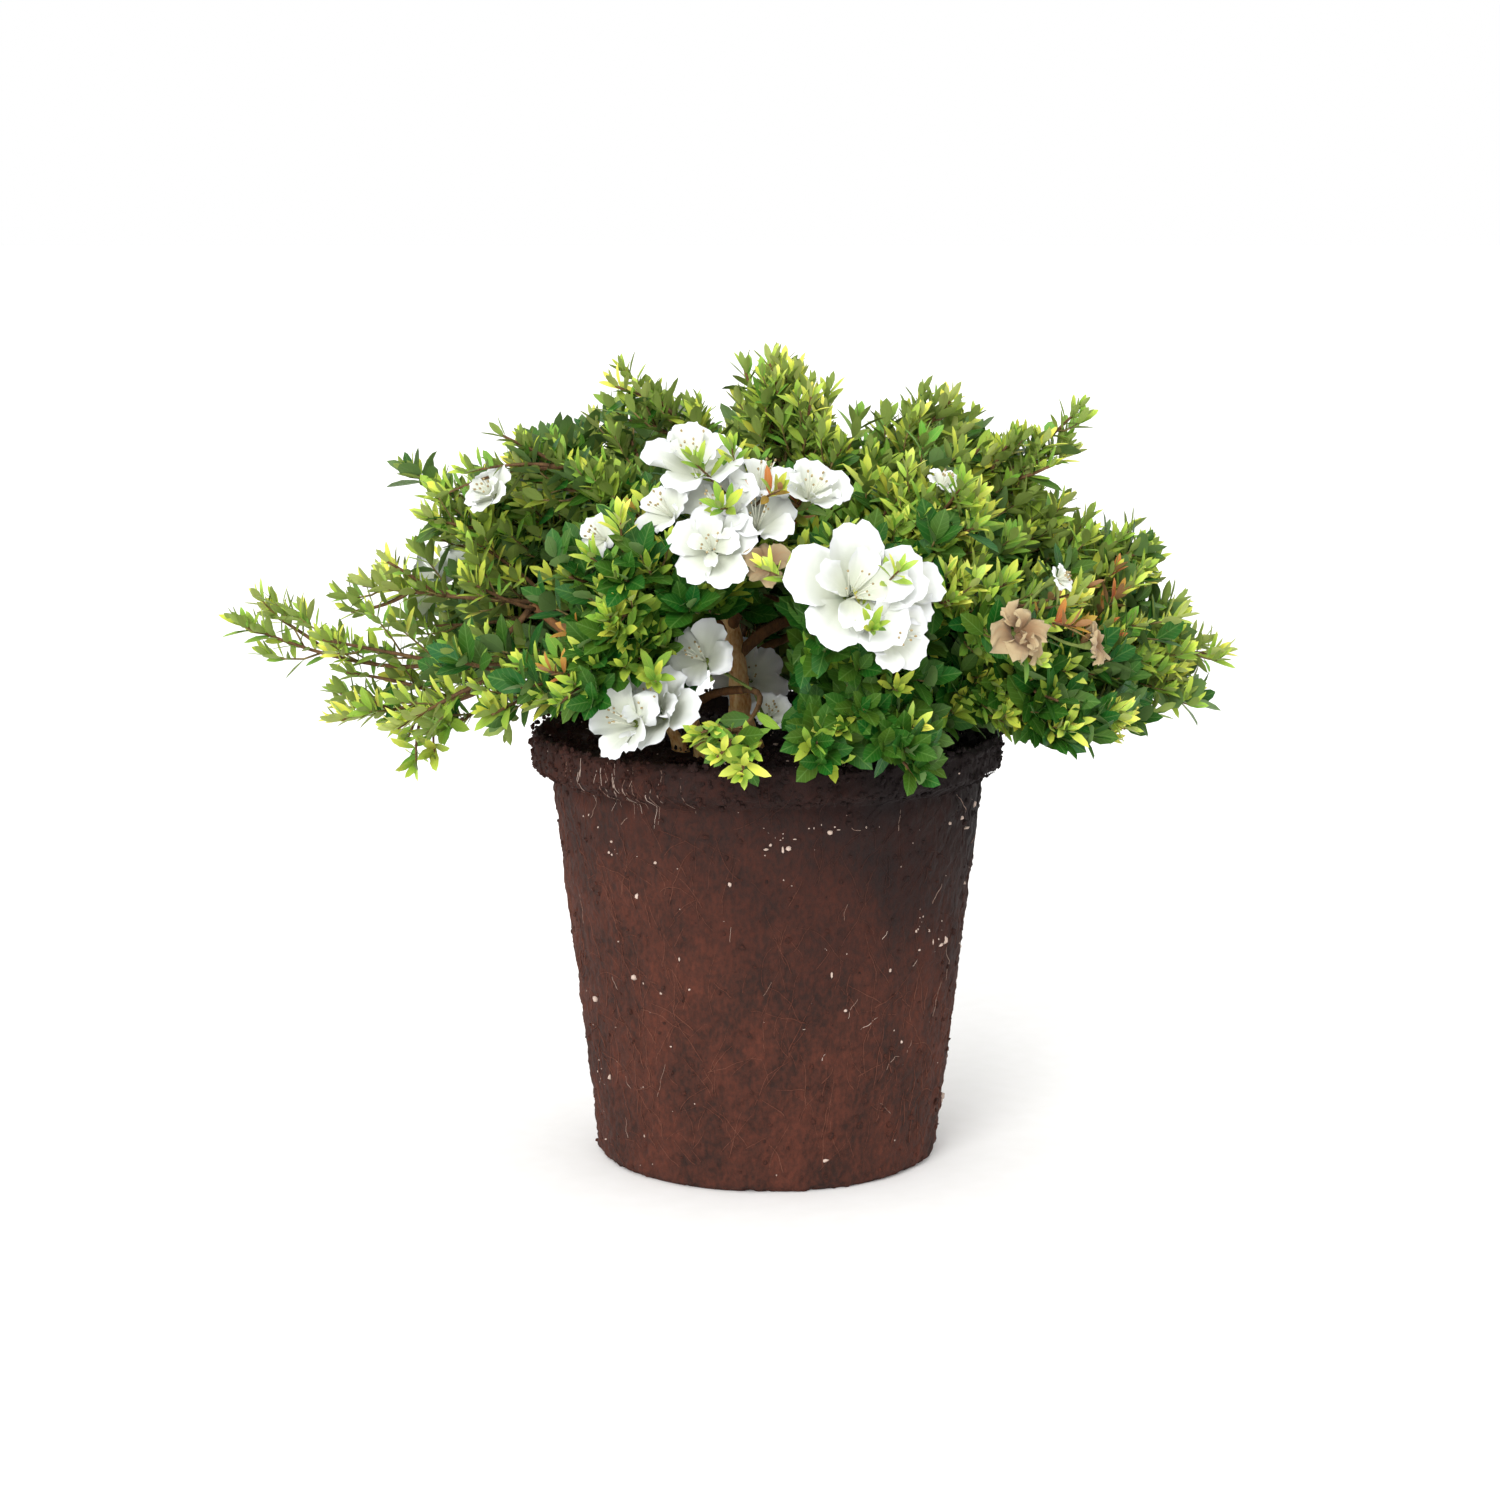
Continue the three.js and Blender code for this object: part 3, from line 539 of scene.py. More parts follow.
class Growth:
    """Every twig of the crown, grown mass by mass from its limbs."""

    # Side twigs on the limb itself, inside the mass
    INNER_TWIGS = 5
    INNER_SHARES = (0.5, 0.98)
    INNER_LENGTHS = (0.7, 1.3)
    INNER_LENGTH = 0.045
    INNER_SPREADS = (35, 75)
    # Side twigs on the leader, shorter towards its tip
    LEADER_BEND = 0.35
    SIDE_TWIGS = 14
    LOWEST, HIGHEST = 0.02, 0.90
    SPREAD = 48
    TWIG_LIFT = 0.25
    LOW_TWIG, TWIG_TAPER = 0.80, 0.42
    # This year's shoots on both
    SHOOT_SPACING = 0.0065
    SHOOT_LENGTH = 0.028
    SHOOT_SPREAD = 46
    LOWEST_SHOOT, SHOOTS_SPAN = 0.10, 0.86
    # A twig is shortened until it and the leaves ahead of its tip fit, or is left out, and
    # some keep shy of the crown's outline by up to a margin
    SHORTENINGS = (1, 0.8, 0.62, 0.45)
    TWIG_TESTS = (0.35, 0.7, 1)
    SHORTEST_TWIG = 0.012
    LEAF_AHEAD = 0.012
    SHY = 0.055
    # How a shoot leans ahead and outward, and how soon it bends
    AHEAD = 0.25
    OUTWARD = 0.25
    SHOOT_BEND = 0.40
    # The places along a leader where a lone shoot may start, short of the nearest
    LONE_SHARES = np.linspace(0.15, 0.9, 20)
    LONE_START = 0.75

    def __init__(self, crown, seed):
        self.crown = crown
        self.random = np.random.default_rng(seed)
        self.twigs = []
        self.leaders = []
        for own in range(len(MASSES)):
            self.grow_mass(own)
        for spot in LONE_SHOOTS:
            self.grow_lone_shoot(from_hub(*spot))

    def grow_lone_shoot(self, tip):
        """A shoot from the nearest leader to a given spot."""
        near = distance_to_stretches(tip[None], self.crown.feet, self.crown.tips)[0]
        own = int(near.argmin())
        leader = self.leaders[own]
        apart = np.linalg.norm(leader.at(self.LONE_SHARES) - tip, axis=1)
        share = self.LONE_SHARES[apart.argmin()] * self.LONE_START
        start = leader.at(share)
        towards = unit(tip - start)
        end = tip - towards * self.LEAF_AHEAD
        curve = bend_towards(start, unit(towards + leader.ahead(share)), end, self.SHOOT_BEND)
        self.twigs.append(Twig(curve, TWIG_RADIUS, SHOOT_TIP_RADIUS, LONE_SHOOT, own))

    def fits(self, curve, own, margin):
        """True if a shoot and the leaves at its tip keep to its mass's space."""
        points = curve.at(self.TWIG_TESTS)
        beyond = curve.at(1) + curve.ahead(1) * self.LEAF_AHEAD
        reached = self.crown.clear(np.concatenate((points, beyond[None])), own, margin)
        return bool(reached.all() and self.crown.room(points, own).all())

    def grow_mass(self, own):
        """A leader to the mass's tip, side twigs on it and on its limb, and shoots on all."""
        mass, random = MASSES[own], self.random
        limb = self.crown.limbs[mass.name]
        foot, tip = self.crown.feet[own], self.crown.tips[own]
        ahead = limb.curve.ahead(1)
        end = tip - unit(tip - foot) * self.LEAF_AHEAD
        bend = foot + ahead * np.linalg.norm(end - foot) * self.LEADER_BEND
        leader = Curve(foot, bend - SKYWARD * 2 * mass.sag, end)
        self.leaders.append(leader)
        self.twigs.append(Twig(leader, LEADER_RADIUS, SHOOT_RADIUS, LEADER, own))
        for _ in range(round(self.INNER_TWIGS * mass.fullness)):
            share = random.uniform(*self.INNER_SHARES)
            full = self.INNER_LENGTH * random.uniform(*self.INNER_LENGTHS)
            spread, turn = random.uniform(*self.INNER_SPREADS), random.uniform(0, 360)
            self.grow_side_twig(limb.curve, share, spread, turn, full, own, 0)
        count = round(self.SIDE_TWIGS * mass.fullness)
        turn = random.uniform(0, 360)
        for index in range(count):
            part = (index + random.uniform(0, 0.5)) / count
            share = self.LOWEST + (self.HIGHEST - self.LOWEST) * part
            turn += GOLDEN_ANGLE + random.uniform(-15, 15)
            spread = self.SPREAD + random.uniform(-10, 10)
            full = leader.length * (self.LOW_TWIG - self.TWIG_TAPER * share)
            full = full * random.uniform(0.85, 1.15)
            margin = self.SHY * random.random() ** 2
            self.grow_side_twig(leader, share, spread, turn, full, own, margin)
        self.grow_shoots(leader, own)

    def grow_side_twig(self, parent, share, spread, turn, full, own, margin):
        """A side twig with its shoots, where there is room for it."""
        lift = MASSES[own].lift * self.TWIG_LIFT
        twig = self.shoot(parent, share, spread, turn, full, own, margin, lift)
        if twig is not None:
            self.twigs.append(Twig(twig, TWIG_RADIUS, SHOOT_RADIUS, SIDE_TWIG, own))
            self.grow_shoots(twig, own)

    def grow_shoots(self, parent, own):
        """This year's shoots along a twig, turned up to the light."""
        mass, random = MASSES[own], self.random
        count = max(1, round(parent.length / self.SHOOT_SPACING * mass.fullness))
        turn = random.uniform(0, 360)
        for index in range(count):
            part = index + random.uniform(0.1, 0.9)
            share = self.LOWEST_SHOOT + self.SHOOTS_SPAN * part / count
            turn += GOLDEN_ANGLE + random.uniform(-20, 20)
            full = self.SHOOT_LENGTH * random.uniform(0.6, 1.35)
            spread = self.SHOOT_SPREAD + random.uniform(-14, 14)
            margin = self.SHY * random.random() ** 1.4
            twig = self.shoot(parent, share, spread, turn, full, own, margin, mass.lift)
            if twig is not None:
                self.twigs.append(Twig(twig, SHOOT_RADIUS, SHOOT_TIP_RADIUS, SHOOT, own))

    def shoot(self, parent, share, spread, turn, full, own, margin, lift):
        """A shoot that leaves its parent, bends up to the sky, and is shortened to fit."""
        start, ahead = parent.at(share), parent.ahead(share)
        out = leaning(ahead, spread, turn)
        outward = unit(start - HUB)
        for part in self.SHORTENINGS:
            length = full * part
            if length < self.SHORTEST_TWIG:
                return None
            leaves = unit(out + ahead * self.AHEAD + outward * self.OUTWARD + SKYWARD * lift)
            curve = bend_towards(start, out, start + leaves * length, self.SHOOT_BEND)
            if self.fits(curve, own, margin):
                return curve
        return None


# Objects, and meshes from arrays
def add_object(name, data):
    """A new object in the scene."""
    thing = bpy.data.objects.new(name, data)
    bpy.context.scene.collection.objects.link(thing)
    return thing


def make_piece(name, points, faces, materials, indices=None, smooth=True):
    """A mesh object from corner and face arrays, riding on the root body."""
    mesh = bpy.data.meshes.new(name)
    points = np.asarray(points, np.float32)
    faces = np.asarray(faces, np.int32)
    sides = faces.shape[1]
    mesh.vertices.add(len(points))
    mesh.vertices.foreach_set("co", points.ravel())
    mesh.loops.add(faces.size)
    mesh.loops.foreach_set("vertex_index", faces.ravel())
    mesh.polygons.add(len(faces))
    mesh.polygons.foreach_set("loop_start", np.arange(0, faces.size, sides, dtype=np.int32))
    for material in materials:
        mesh.materials.append(material)
    if indices is not None:
        mesh.polygons.foreach_set("material_index", np.asarray(indices, np.int32))
    mesh.polygons.foreach_set("use_smooth", np.full(len(faces), smooth))
    mesh.update(calc_edges=True)
    mesh.validate()
    piece = add_object(name, mesh)
    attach(piece, "root")
    return piece


class Batch:
    """Collects meshes of like faces, to be joined into one piece."""

    def __init__(self):
        self.points, self.faces, self.indices, self.count = [], [], [], 0

    def add(self, points, faces, index=0):
        """Adds one mesh, or many copies at once where points has one more axis."""
        points = np.asarray(points, float)
        faces = np.asarray(faces, int)
        if points.ndim == 2:
            points = points[None]
        copies, corners = points.shape[:2]
        offsets = self.count + corners * np.arange(copies)
        self.points.append(points.reshape(-1, 3))
        self.faces.append((faces[None] + offsets[:, None, None]).reshape(-1, faces.shape[1]))
        index = np.broadcast_to(np.asarray(index, int), (copies,))
        self.indices.append(np.repeat(index, len(faces)))
        self.count += copies * corners

    def make(self, name, materials, slot, smooth=True):
        """The joined piece."""
        points, faces = np.concatenate(self.points), np.concatenate(self.faces)
        indices = np.concatenate(self.indices)
        return make_piece(name, points, faces, materials, indices, smooth)


def tube_triangles(rings, sides):
    """The triangles of a closed tube: its rings in order, then the middles of its ends."""
    ring = np.arange(rings - 1)[:, None] * sides
    side = np.arange(sides)[None]
    after = (side + 1) % sides
    lower = np.stack((ring + side, ring + after, ring + sides + after), -1)
    upper = np.stack((ring + side, ring + sides + after, ring + sides + side), -1)
    side, after = side[0], after[0]
    last, middle = (rings - 1) * sides, rings * sides
    foot = np.stack((np.full(sides, middle), after, side), -1)
    tip = np.stack((np.full(sides, middle + 1), last + side, last + after), -1)
    return np.concatenate((lower.reshape(-1, 3), upper.reshape(-1, 3), foot, tip))


def tube_points(spine, radii, sides, relief=None):
    """The rings of points round a spine, then the middles of its two ends."""
    spine = np.asarray(spine, float)
    ahead = unit(np.gradient(spine, axis=0))
    across = square_to(ahead[0])[0]
    acrosses = []
    for direction in ahead:
        across = unit(across - direction * (across @ direction))
        acrosses.append(across)
    acrosses = np.array(acrosses)
    overs = np.cross(ahead, acrosses)
    angle = np.linspace(0, 2 * math.pi, sides, endpoint=False)[None, :, None]
    around = np.cos(angle) * acrosses[:, None] + np.sin(angle) * overs[:, None]
    reach = np.repeat(np.asarray(radii, float)[:, None], sides, 1)
    if relief is not None:
        reach = reach + relief(spine[:, None] + around * reach[..., None])
    rings = spine[:, None] + around * reach[..., None]
    return np.concatenate((rings.reshape(-1, 3), spine[:1], spine[-1:]))


def grid_triangles(rows, columns):
    """The triangles of a sheet of points in rows."""
    corner = (np.arange(rows - 1)[:, None] * columns + np.arange(columns - 1)[None]).ravel()
    lower = np.stack((corner, corner + 1, corner + columns + 1), -1)
    upper = np.stack((corner, corner + columns + 1, corner + columns), -1)
    return np.concatenate((lower, upper))


# Noise in space
LATTICE_CELLS = 64


@functools.cache
def lattice(salt):
    """A repeatable random number from -1 to 1 for each cell of a block of space."""
    return np.random.default_rng(salt).uniform(-1, 1, (LATTICE_CELLS,) * 3)


def noise(points, size, salt=0):
    """Smooth noise from -1 to 1 with lumps of a given size, which may differ by axis."""
    scaled = np.asarray(points, float) / size
    cell = np.floor(scaled).astype(int)
    part = scaled - cell
    part = part * part * (3 - 2 * part)
    total = np.zeros(scaled.shape[:-1])
    for corner in np.ndindex(2, 2, 2):
        weight = np.prod(np.where(corner, part, 1 - part), axis=-1)
        near = (cell + corner) % LATTICE_CELLS
        total += weight * lattice(salt)[near[..., 0], near[..., 1], near[..., 2]]
    return total


def ridges(points, size, salt=0):
    """Noise from 0 to 1 that rises to sharp crests."""
    return 1 - np.abs(noise(points, size, salt))


# Colours
def paint(code):
    """The linear colour, with its alpha, of a hex code as shown on a screen."""
    shown = [int(code[i : i + 2], 16) / 255 for i in (1, 3, 5)]
    linear = [c / 12.92 if c <= 0.04045 else ((c + 0.055) / 1.055) ** 2.4 for c in shown]
    return (*linear, 1.0)


# Shader nodes, and how the grain of a finish is drawn out along the axes
EVEN = (1.0, 1.0, 1.0)
FIBRE_STRETCH = (1.0, 1.0, 0.6)
TWIG_STRETCH = (1.0, 1.0, 0.5)
BARK_STRETCH = (1.0, 1.0, 0.35)


class Nodes:
    """Short calls that place and join the nodes of one tree."""

    # The colour sockets of a mix node, by number because other kinds share their names
    MIX_FIRST, MIX_SECOND, MIX_RESULT = 6, 7, 2

    def __init__(self, tree):
        self.tree = tree

    def give(self, socket, value):
        """Sets a socket to a value, or joins another socket to it."""
        if isinstance(value, bpy.types.NodeSocket):
            self.tree.links.new(value, socket)
        else:
            socket.default_value = value

    def add(self, kind, inputs=None, **settings):
        """A node with its settings, and with a value or a socket given to each named input."""
        node = self.tree.nodes.new(kind)
        for name, value in settings.items():
            setattr(node, name, value)
        for name, value in (inputs or {}).items():
            self.give(node.inputs[name], value)
        return node

    def math(self, operation, first, second=0.5, clamp=False):
        """A sum on one or two values."""
        inputs = {0: first, 1: second}
        return self.add("ShaderNodeMath", inputs, operation=operation, use_clamp=clamp).outputs[0]

    def mix(self, share, first, second):
        """Two colours mixed by a share."""
        inputs = {0: share, self.MIX_FIRST: first, self.MIX_SECOND: second}
        return self.add("ShaderNodeMix", inputs, data_type="RGBA").outputs[self.MIX_RESULT]

    def ramp(self, value, low, high, bottom=0.0, top=1.0):
        """A value's share of the way from low to high, given as bottom to top."""
        inputs = {"Value": value, "From Min": low, "From Max": high, "To Min": bottom, "To Max": top}
        return self.add("ShaderNodeMapRange", inputs).outputs[0]

    def noise(self, place, scale, detail=3.0, roughness=0.55):
        """Noise from 0 to 1 at a place."""
        inputs = {"Vector": place, "Scale": scale, "Detail": detail, "Roughness": roughness}
        return self.add("ShaderNodeTexNoise", inputs).outputs[0]

    def place(self, stretch=EVEN):
        """The place on the object in metres, which may be squeezed along an axis."""
        spot = self.add("ShaderNodeTexCoord").outputs["Object"]
        if stretch == EVEN:
            return spot
        return self.add("ShaderNodeMapping", {"Vector": spot, "Scale": stretch}).outputs[0]


COLOUR, NUMBER, DIRECTION = "NodeSocketColor", "NodeSocketFloat", "NodeSocketVector"

# The map that tells how far across and along its leaf or petal a point lies
BLADE_MAP = "blade"


def node_group(name, inputs, outputs, build):
    """A shader node group with named sockets, made once and filled by build(nodes, ins)."""
    if name in bpy.data.node_groups:
        return bpy.data.node_groups[name]
    tree = bpy.data.node_groups.new(name, "ShaderNodeTree")
    for label, kind, default in inputs:
        socket = tree.interface.new_socket(label, in_out="INPUT", socket_type=kind)
        socket.default_value = default
    for label, kind in outputs:
        tree.interface.new_socket(label, in_out="OUTPUT", socket_type=kind)
    nodes = Nodes(tree)
    entry = nodes.add("NodeGroupInput").outputs
    nodes.add("NodeGroupOutput", build(nodes, entry))
    return tree


def mottle_group():
    """Two colours in soft patches with fine grain over them."""

    def build(nodes, entry):
        patch = nodes.noise(entry["Place"], entry["Patch scale"], 4.0, 0.6)
        grain = nodes.noise(entry["Place"], entry["Grain scale"], 3.0, 0.6)
        patch_share = nodes.ramp(patch, 0.40, 0.62)
        grain_share = nodes.ramp(grain, 0.36, 0.64)
        mixed = nodes.math("MULTIPLY", grain_share, entry["Grain"])
        broad = nodes.math("MULTIPLY", patch_share, nodes.math("SUBTRACT", 1.0, entry["Grain"]))
        share = nodes.math("ADD", broad, mixed, clamp=True)
        colour = nodes.mix(share, entry["Dark colour"], entry["Light colour"])
        return {"Colour": colour, "Mask": share, "Height": grain}

    inputs = (
        ("Place", DIRECTION, (0.0, 0.0, 0.0)),
        ("Dark colour", COLOUR, paint("#404040")),
        ("Light colour", COLOUR, paint("#808080")),
        ("Patch scale", NUMBER, 40.0),
        ("Grain scale", NUMBER, 400.0),
        ("Grain", NUMBER, 0.5),
    )
    outputs = (("Colour", COLOUR), ("Mask", NUMBER), ("Height", NUMBER))
    return node_group("Mottle", inputs, outputs, build)


def damp_and_shade_group():
    """Darkens a colour in patches: towards the ball's top for moist peat and painted shade under the
    crown, and towards its right as painted shade on the side away from the light.
    """

    def build(nodes, entry):
        spot = nodes.place()
        axes = nodes.add("ShaderNodeSeparateXYZ", {0: spot}).outputs
        drift = nodes.noise(spot, 13.0, 3.0, 0.6)
        # Painted shade: this lean towards +X darkens the ball's right side, away from the light
        lean = nodes.math("MULTIPLY", axes["X"], 0.58)
        lifted = nodes.math("ADD", axes["Z"], lean)
        lifted = nodes.math("ADD", lifted, nodes.math("MULTIPLY", drift, 0.16))
        share = nodes.ramp(lifted, entry["Undarkened level"], entry["Darkest level"])
        colour = nodes.mix(share, entry["Colour"], entry["Damp and shade colour"])
        return {"Colour": colour}

    inputs = (
        ("Colour", COLOUR, paint("#5E3A2C")),
        ("Damp and shade colour", COLOUR, paint("#241A17")),
        ("Undarkened level", NUMBER, 0.2),
        ("Darkest level", NUMBER, 0.3),
    )
    return node_group("Damp and shaded soil", inputs, (("Colour", COLOUR),), build)


def blade_group():
    """The skin of a leaf or petal: paler or darker towards its tip, with a midrib and veins."""

    def build(nodes, entry):
        spread = nodes.add("ShaderNodeUVMap", uv_map=BLADE_MAP).outputs[0]
        axes = nodes.add("ShaderNodeSeparateXYZ", {0: spread}).outputs
        aside = nodes.math("ABSOLUTE", nodes.math("SUBTRACT", axes["X"], 0.5))
        rib = nodes.ramp(aside, 0.0, 0.05, 1.0, 0.0)
        slant = nodes.math("SUBTRACT", axes["Y"], nodes.math("MULTIPLY", aside, 0.55))
        wave = nodes.math("SINE", nodes.math("MULTIPLY", slant, entry["Vein count"]))
        side_vein = nodes.ramp(wave, 0.80, 1.0)
        vein = nodes.math("MAXIMUM", rib, nodes.math("MULTIPLY", side_vein, 0.45))
        vein = nodes.math("MULTIPLY", vein, entry["Vein strength"])
        towards_tip = nodes.ramp(axes["Y"], 0.25, 1.0)
        colour = nodes.mix(towards_tip, entry["Blade colour"], entry["Tip colour"])
        own = nodes.add("ShaderNodeNewGeometry").outputs["Random Per Island"]
        blotch = nodes.noise(nodes.place(), 70.0, 2.0, 0.5)
        own_part = nodes.math("MULTIPLY", own, 0.6)
        either = nodes.math("ADD", own_part, nodes.math("MULTIPLY", blotch, 0.4))
        shade = nodes.math("MULTIPLY", nodes.math("SUBTRACT", either, 0.5), entry["Variation"])
        bright = nodes.math("ADD", shade, 1.0)
        turned = nodes.math("MULTIPLY", nodes.math("SUBTRACT", blotch, own), entry["Hue variation"])
        look = {"Hue": nodes.math("ADD", turned, 0.5), "Value": bright, "Color": colour}
        varied = nodes.add("ShaderNodeHueSaturation", look).outputs[0]
        skin = nodes.mix(vein, varied, entry["Vein colour"])
        return {"Colour": skin, "Height": nodes.math("SUBTRACT", 1.0, vein)}

    inputs = (
        ("Blade colour", COLOUR, paint("#4C6B2A")),
        ("Tip colour", COLOUR, paint("#7C9440")),
        ("Vein colour", COLOUR, paint("#9CB060")),
        ("Vein strength", NUMBER, 0.4),
        ("Vein count", NUMBER, 44.0),
        ("Variation", NUMBER, 0.5),
        ("Hue variation", NUMBER, 0.0),
    )
    outputs = (("Colour", COLOUR), ("Height", NUMBER))
    return node_group("Blade skin", inputs, outputs, build)


def new_material(name):
    """An empty material, its nodes, and its principled shader."""
    material = bpy.data.materials.new(name)
    material.use_nodes = True
    material.node_tree.nodes.clear()
    nodes = Nodes(material.node_tree)
    shader = nodes.add("ShaderNodeBsdfPrincipled")
    nodes.add("ShaderNodeOutputMaterial", {"Surface": shader.outputs[0]})
    return material, nodes, shader


def set_shader(nodes, shader, height, relief, **values):
    """Sets or joins the shader's sockets, with a bump of a depth in metres from a height."""
    for name, value in values.items():
        nodes.give(shader.inputs[name.replace("_", " ")], value)
    bump = nodes.add("ShaderNodeBump", {"Height": height, "Strength": 1.0, "Distance": relief})
    nodes.give(shader.inputs["Normal"], bump.outputs[0])


def add_group(nodes, tree, inputs):
    """A group node's outputs, with its inputs set or joined."""
    return nodes.add("ShaderNodeGroup", inputs, node_tree=tree).outputs


def add_mottle(nodes, dark, light, patch, grain, stretch):
    """The mottle group's outputs, for two colours and the scales of patches and grain."""
    return add_group(nodes, mottle_group(), {
        "Place": nodes.place(stretch),
        "Dark colour": dark,
        "Light colour": light,
        "Patch scale": patch,
        "Grain scale": grain,
        "Grain": 0.5,
    })


def soil_material(name, dark, light, damp_and_shade, patch=38.0, grain=360.0):
    """Fibrous peat: two browns in patches, darker towards the top and the right for moist peat and
    painted shade, with a fine dry grain.
    """
    material, nodes, shader = new_material(name)
    mottle = add_mottle(nodes, dark, light, patch, grain, FIBRE_STRETCH)
    damp_and_shaded = add_group(nodes, damp_and_shade_group(), {
        "Colour": mottle["Colour"],
        "Damp and shade colour": damp_and_shade,
        "Undarkened level": 0.195,
        "Darkest level": 0.355,
    })
    roughness = nodes.ramp(mottle["Mask"], 0.0, 1.0, 0.82, 1.0)
    set_shader(
        nodes, shader, mottle["Height"], 0.0014,
        Base_Color=damp_and_shaded["Colour"], Roughness=roughness, Specular_IOR_Level=0.25,
    )
    return material


def mottled_material(name, dark, light, patch, grain, relief, rough=0.8, stretch=EVEN):
    """A finish of two colours in patches, with a grain in its roughness and relief."""
    material, nodes, shader = new_material(name)
    mottle = add_mottle(nodes, dark, light, patch, grain, stretch)
    roughness = nodes.ramp(mottle["Mask"], 0.0, 1.0, rough, min(rough + 0.15, 1.0))
    set_shader(
        nodes, shader, mottle["Height"], relief,
        Base_Color=mottle["Colour"], Roughness=roughness, Specular_IOR_Level=0.3,
    )
    return material


def leaf_material(name, blade, tip, vein, under):
    """A leaf's skin, glossier above, with a paler and duller underside."""
    material, nodes, shader = new_material(name)
    skin = add_group(nodes, blade_group(), {
        "Blade colour": blade,
        "Tip colour": tip,
        "Vein colour": vein,
        "Vein strength": 0.42,
        "Vein count": 42.0,
        "Variation": 0.7,
        "Hue variation": 0.07,
    })
    behind = nodes.add("ShaderNodeNewGeometry").outputs["Backfacing"]
    colour = nodes.mix(behind, skin["Colour"], under)
    fleck = nodes.noise(nodes.place(), 260.0, 2.0)
    dull = nodes.math("ADD", nodes.math("MULTIPLY", fleck, 0.16), 0.38)
    set_shader(
        nodes, shader, skin["Height"], 0.00025,
        Base_Color=colour, Roughness=dull, Specular_IOR_Level=0.18,
        Subsurface_Weight=0.12, Subsurface_Radius=(0.25, 0.55, 0.10), Subsurface_Scale=0.004,
    )
    return material


def petal_material(name, blade, edge, vein, rough, variation, translucence):
    """A petal's skin, soft and thin, with faint veins from its throat."""
    material, nodes, shader = new_material(name)
    skin = add_group(nodes, blade_group(), {
        "Blade colour": blade,
        "Tip colour": edge,
        "Vein colour": vein,
        "Vein strength": 0.22,
        "Vein count": 18.0,
        "Variation": variation,
    })
    fleck = nodes.noise(nodes.place(), 180.0, 2.0)
    dull = nodes.ramp(fleck, 0.2, 0.8, rough - 0.06, rough + 0.08)
    set_shader(
        nodes, shader, skin["Height"], 0.0002,
        Base_Color=skin["Colour"], Roughness=dull, Specular_IOR_Level=0.3,
        Subsurface_Weight=translucence, Subsurface_Radius=(1.0, 1.0, 1.0), Subsurface_Scale=0.003,
        Sheen_Weight=0.1,
    )
    return material


# Leaves: the stations along one, and its half width at each as a share of the widest
LEAF_STATIONS = np.array((0, 0.22, 0.52, 0.82, 1))
LEAF_WIDTHS = np.array((0, 0.66, 1, 0.66, 0))


def leaf_template():
    """A leaf's corners as shares of its half width and length, and its triangles."""
    inner = range(1, len(LEAF_STATIONS) - 1)
    corners = [(0.0, 0.0)]
    for row in inner:
        wide, along = LEAF_WIDTHS[row], LEAF_STATIONS[row]
        corners += [(-wide, along), (0.0, along), (wide, along)]
    corners.append((0.0, 1.0))
    tip = len(corners) - 1
    faces = [(0, 3, 2), (0, 2, 1)]
    for row in inner[:-1]:
        left, middle, right = (1 + 3 * (row - 1) + k for k in range(3))
        faces += [(middle, right, right + 3), (middle, right + 3, middle + 3)]
        faces += [(left, middle, middle + 3), (left, middle + 3, left + 3)]
    faces += [(tip - 2, tip - 1, tip), (tip - 3, tip - 2, tip)]
    return np.array(corners), np.array(faces)


LEAF_CORNERS, LEAF_FACES = leaf_template()


class LeafKind(NamedTuple):
    """A kind of leaf: its length, and its width, fold and droop as shares of that."""

    length: float
    width: float
    fold: float
    droop: float


YOUNG_LEAF = LeafKind(0.0162, 0.32, 0.30, 0.00)
SUMMER_LEAF = LeafKind(0.0186, 0.38, 0.22, 0.08)
SHADED_LEAF = LeafKind(0.0238, 0.52, 0.12, 0.12)

# The tints, the kind of leaf that has each, and the tint of the older leaves below a spray
FRESH, LIGHT, MIDDLE, OLIVE, DEEP, SPENT = range(6)
KIND_OF_TINT = (YOUNG_LEAF, YOUNG_LEAF, SUMMER_LEAF, SUMMER_LEAF, SHADED_LEAF, YOUNG_LEAF)
OLDER = (LIGHT, MIDDLE, DEEP, MIDDLE, DEEP, SPENT)


class Leaf(NamedTuple):
    """One leaf: where it starts, which way it and its face point, its form and its tint."""

    base: np.ndarray
    along: np.ndarray
    face: np.ndarray
    length: float
    width: float
    fold: float
    droop: float
    roll: float
    tint: int

    def point(self, share):
        """The point at a share of its length."""
        return self.base + self.along * self.length * share


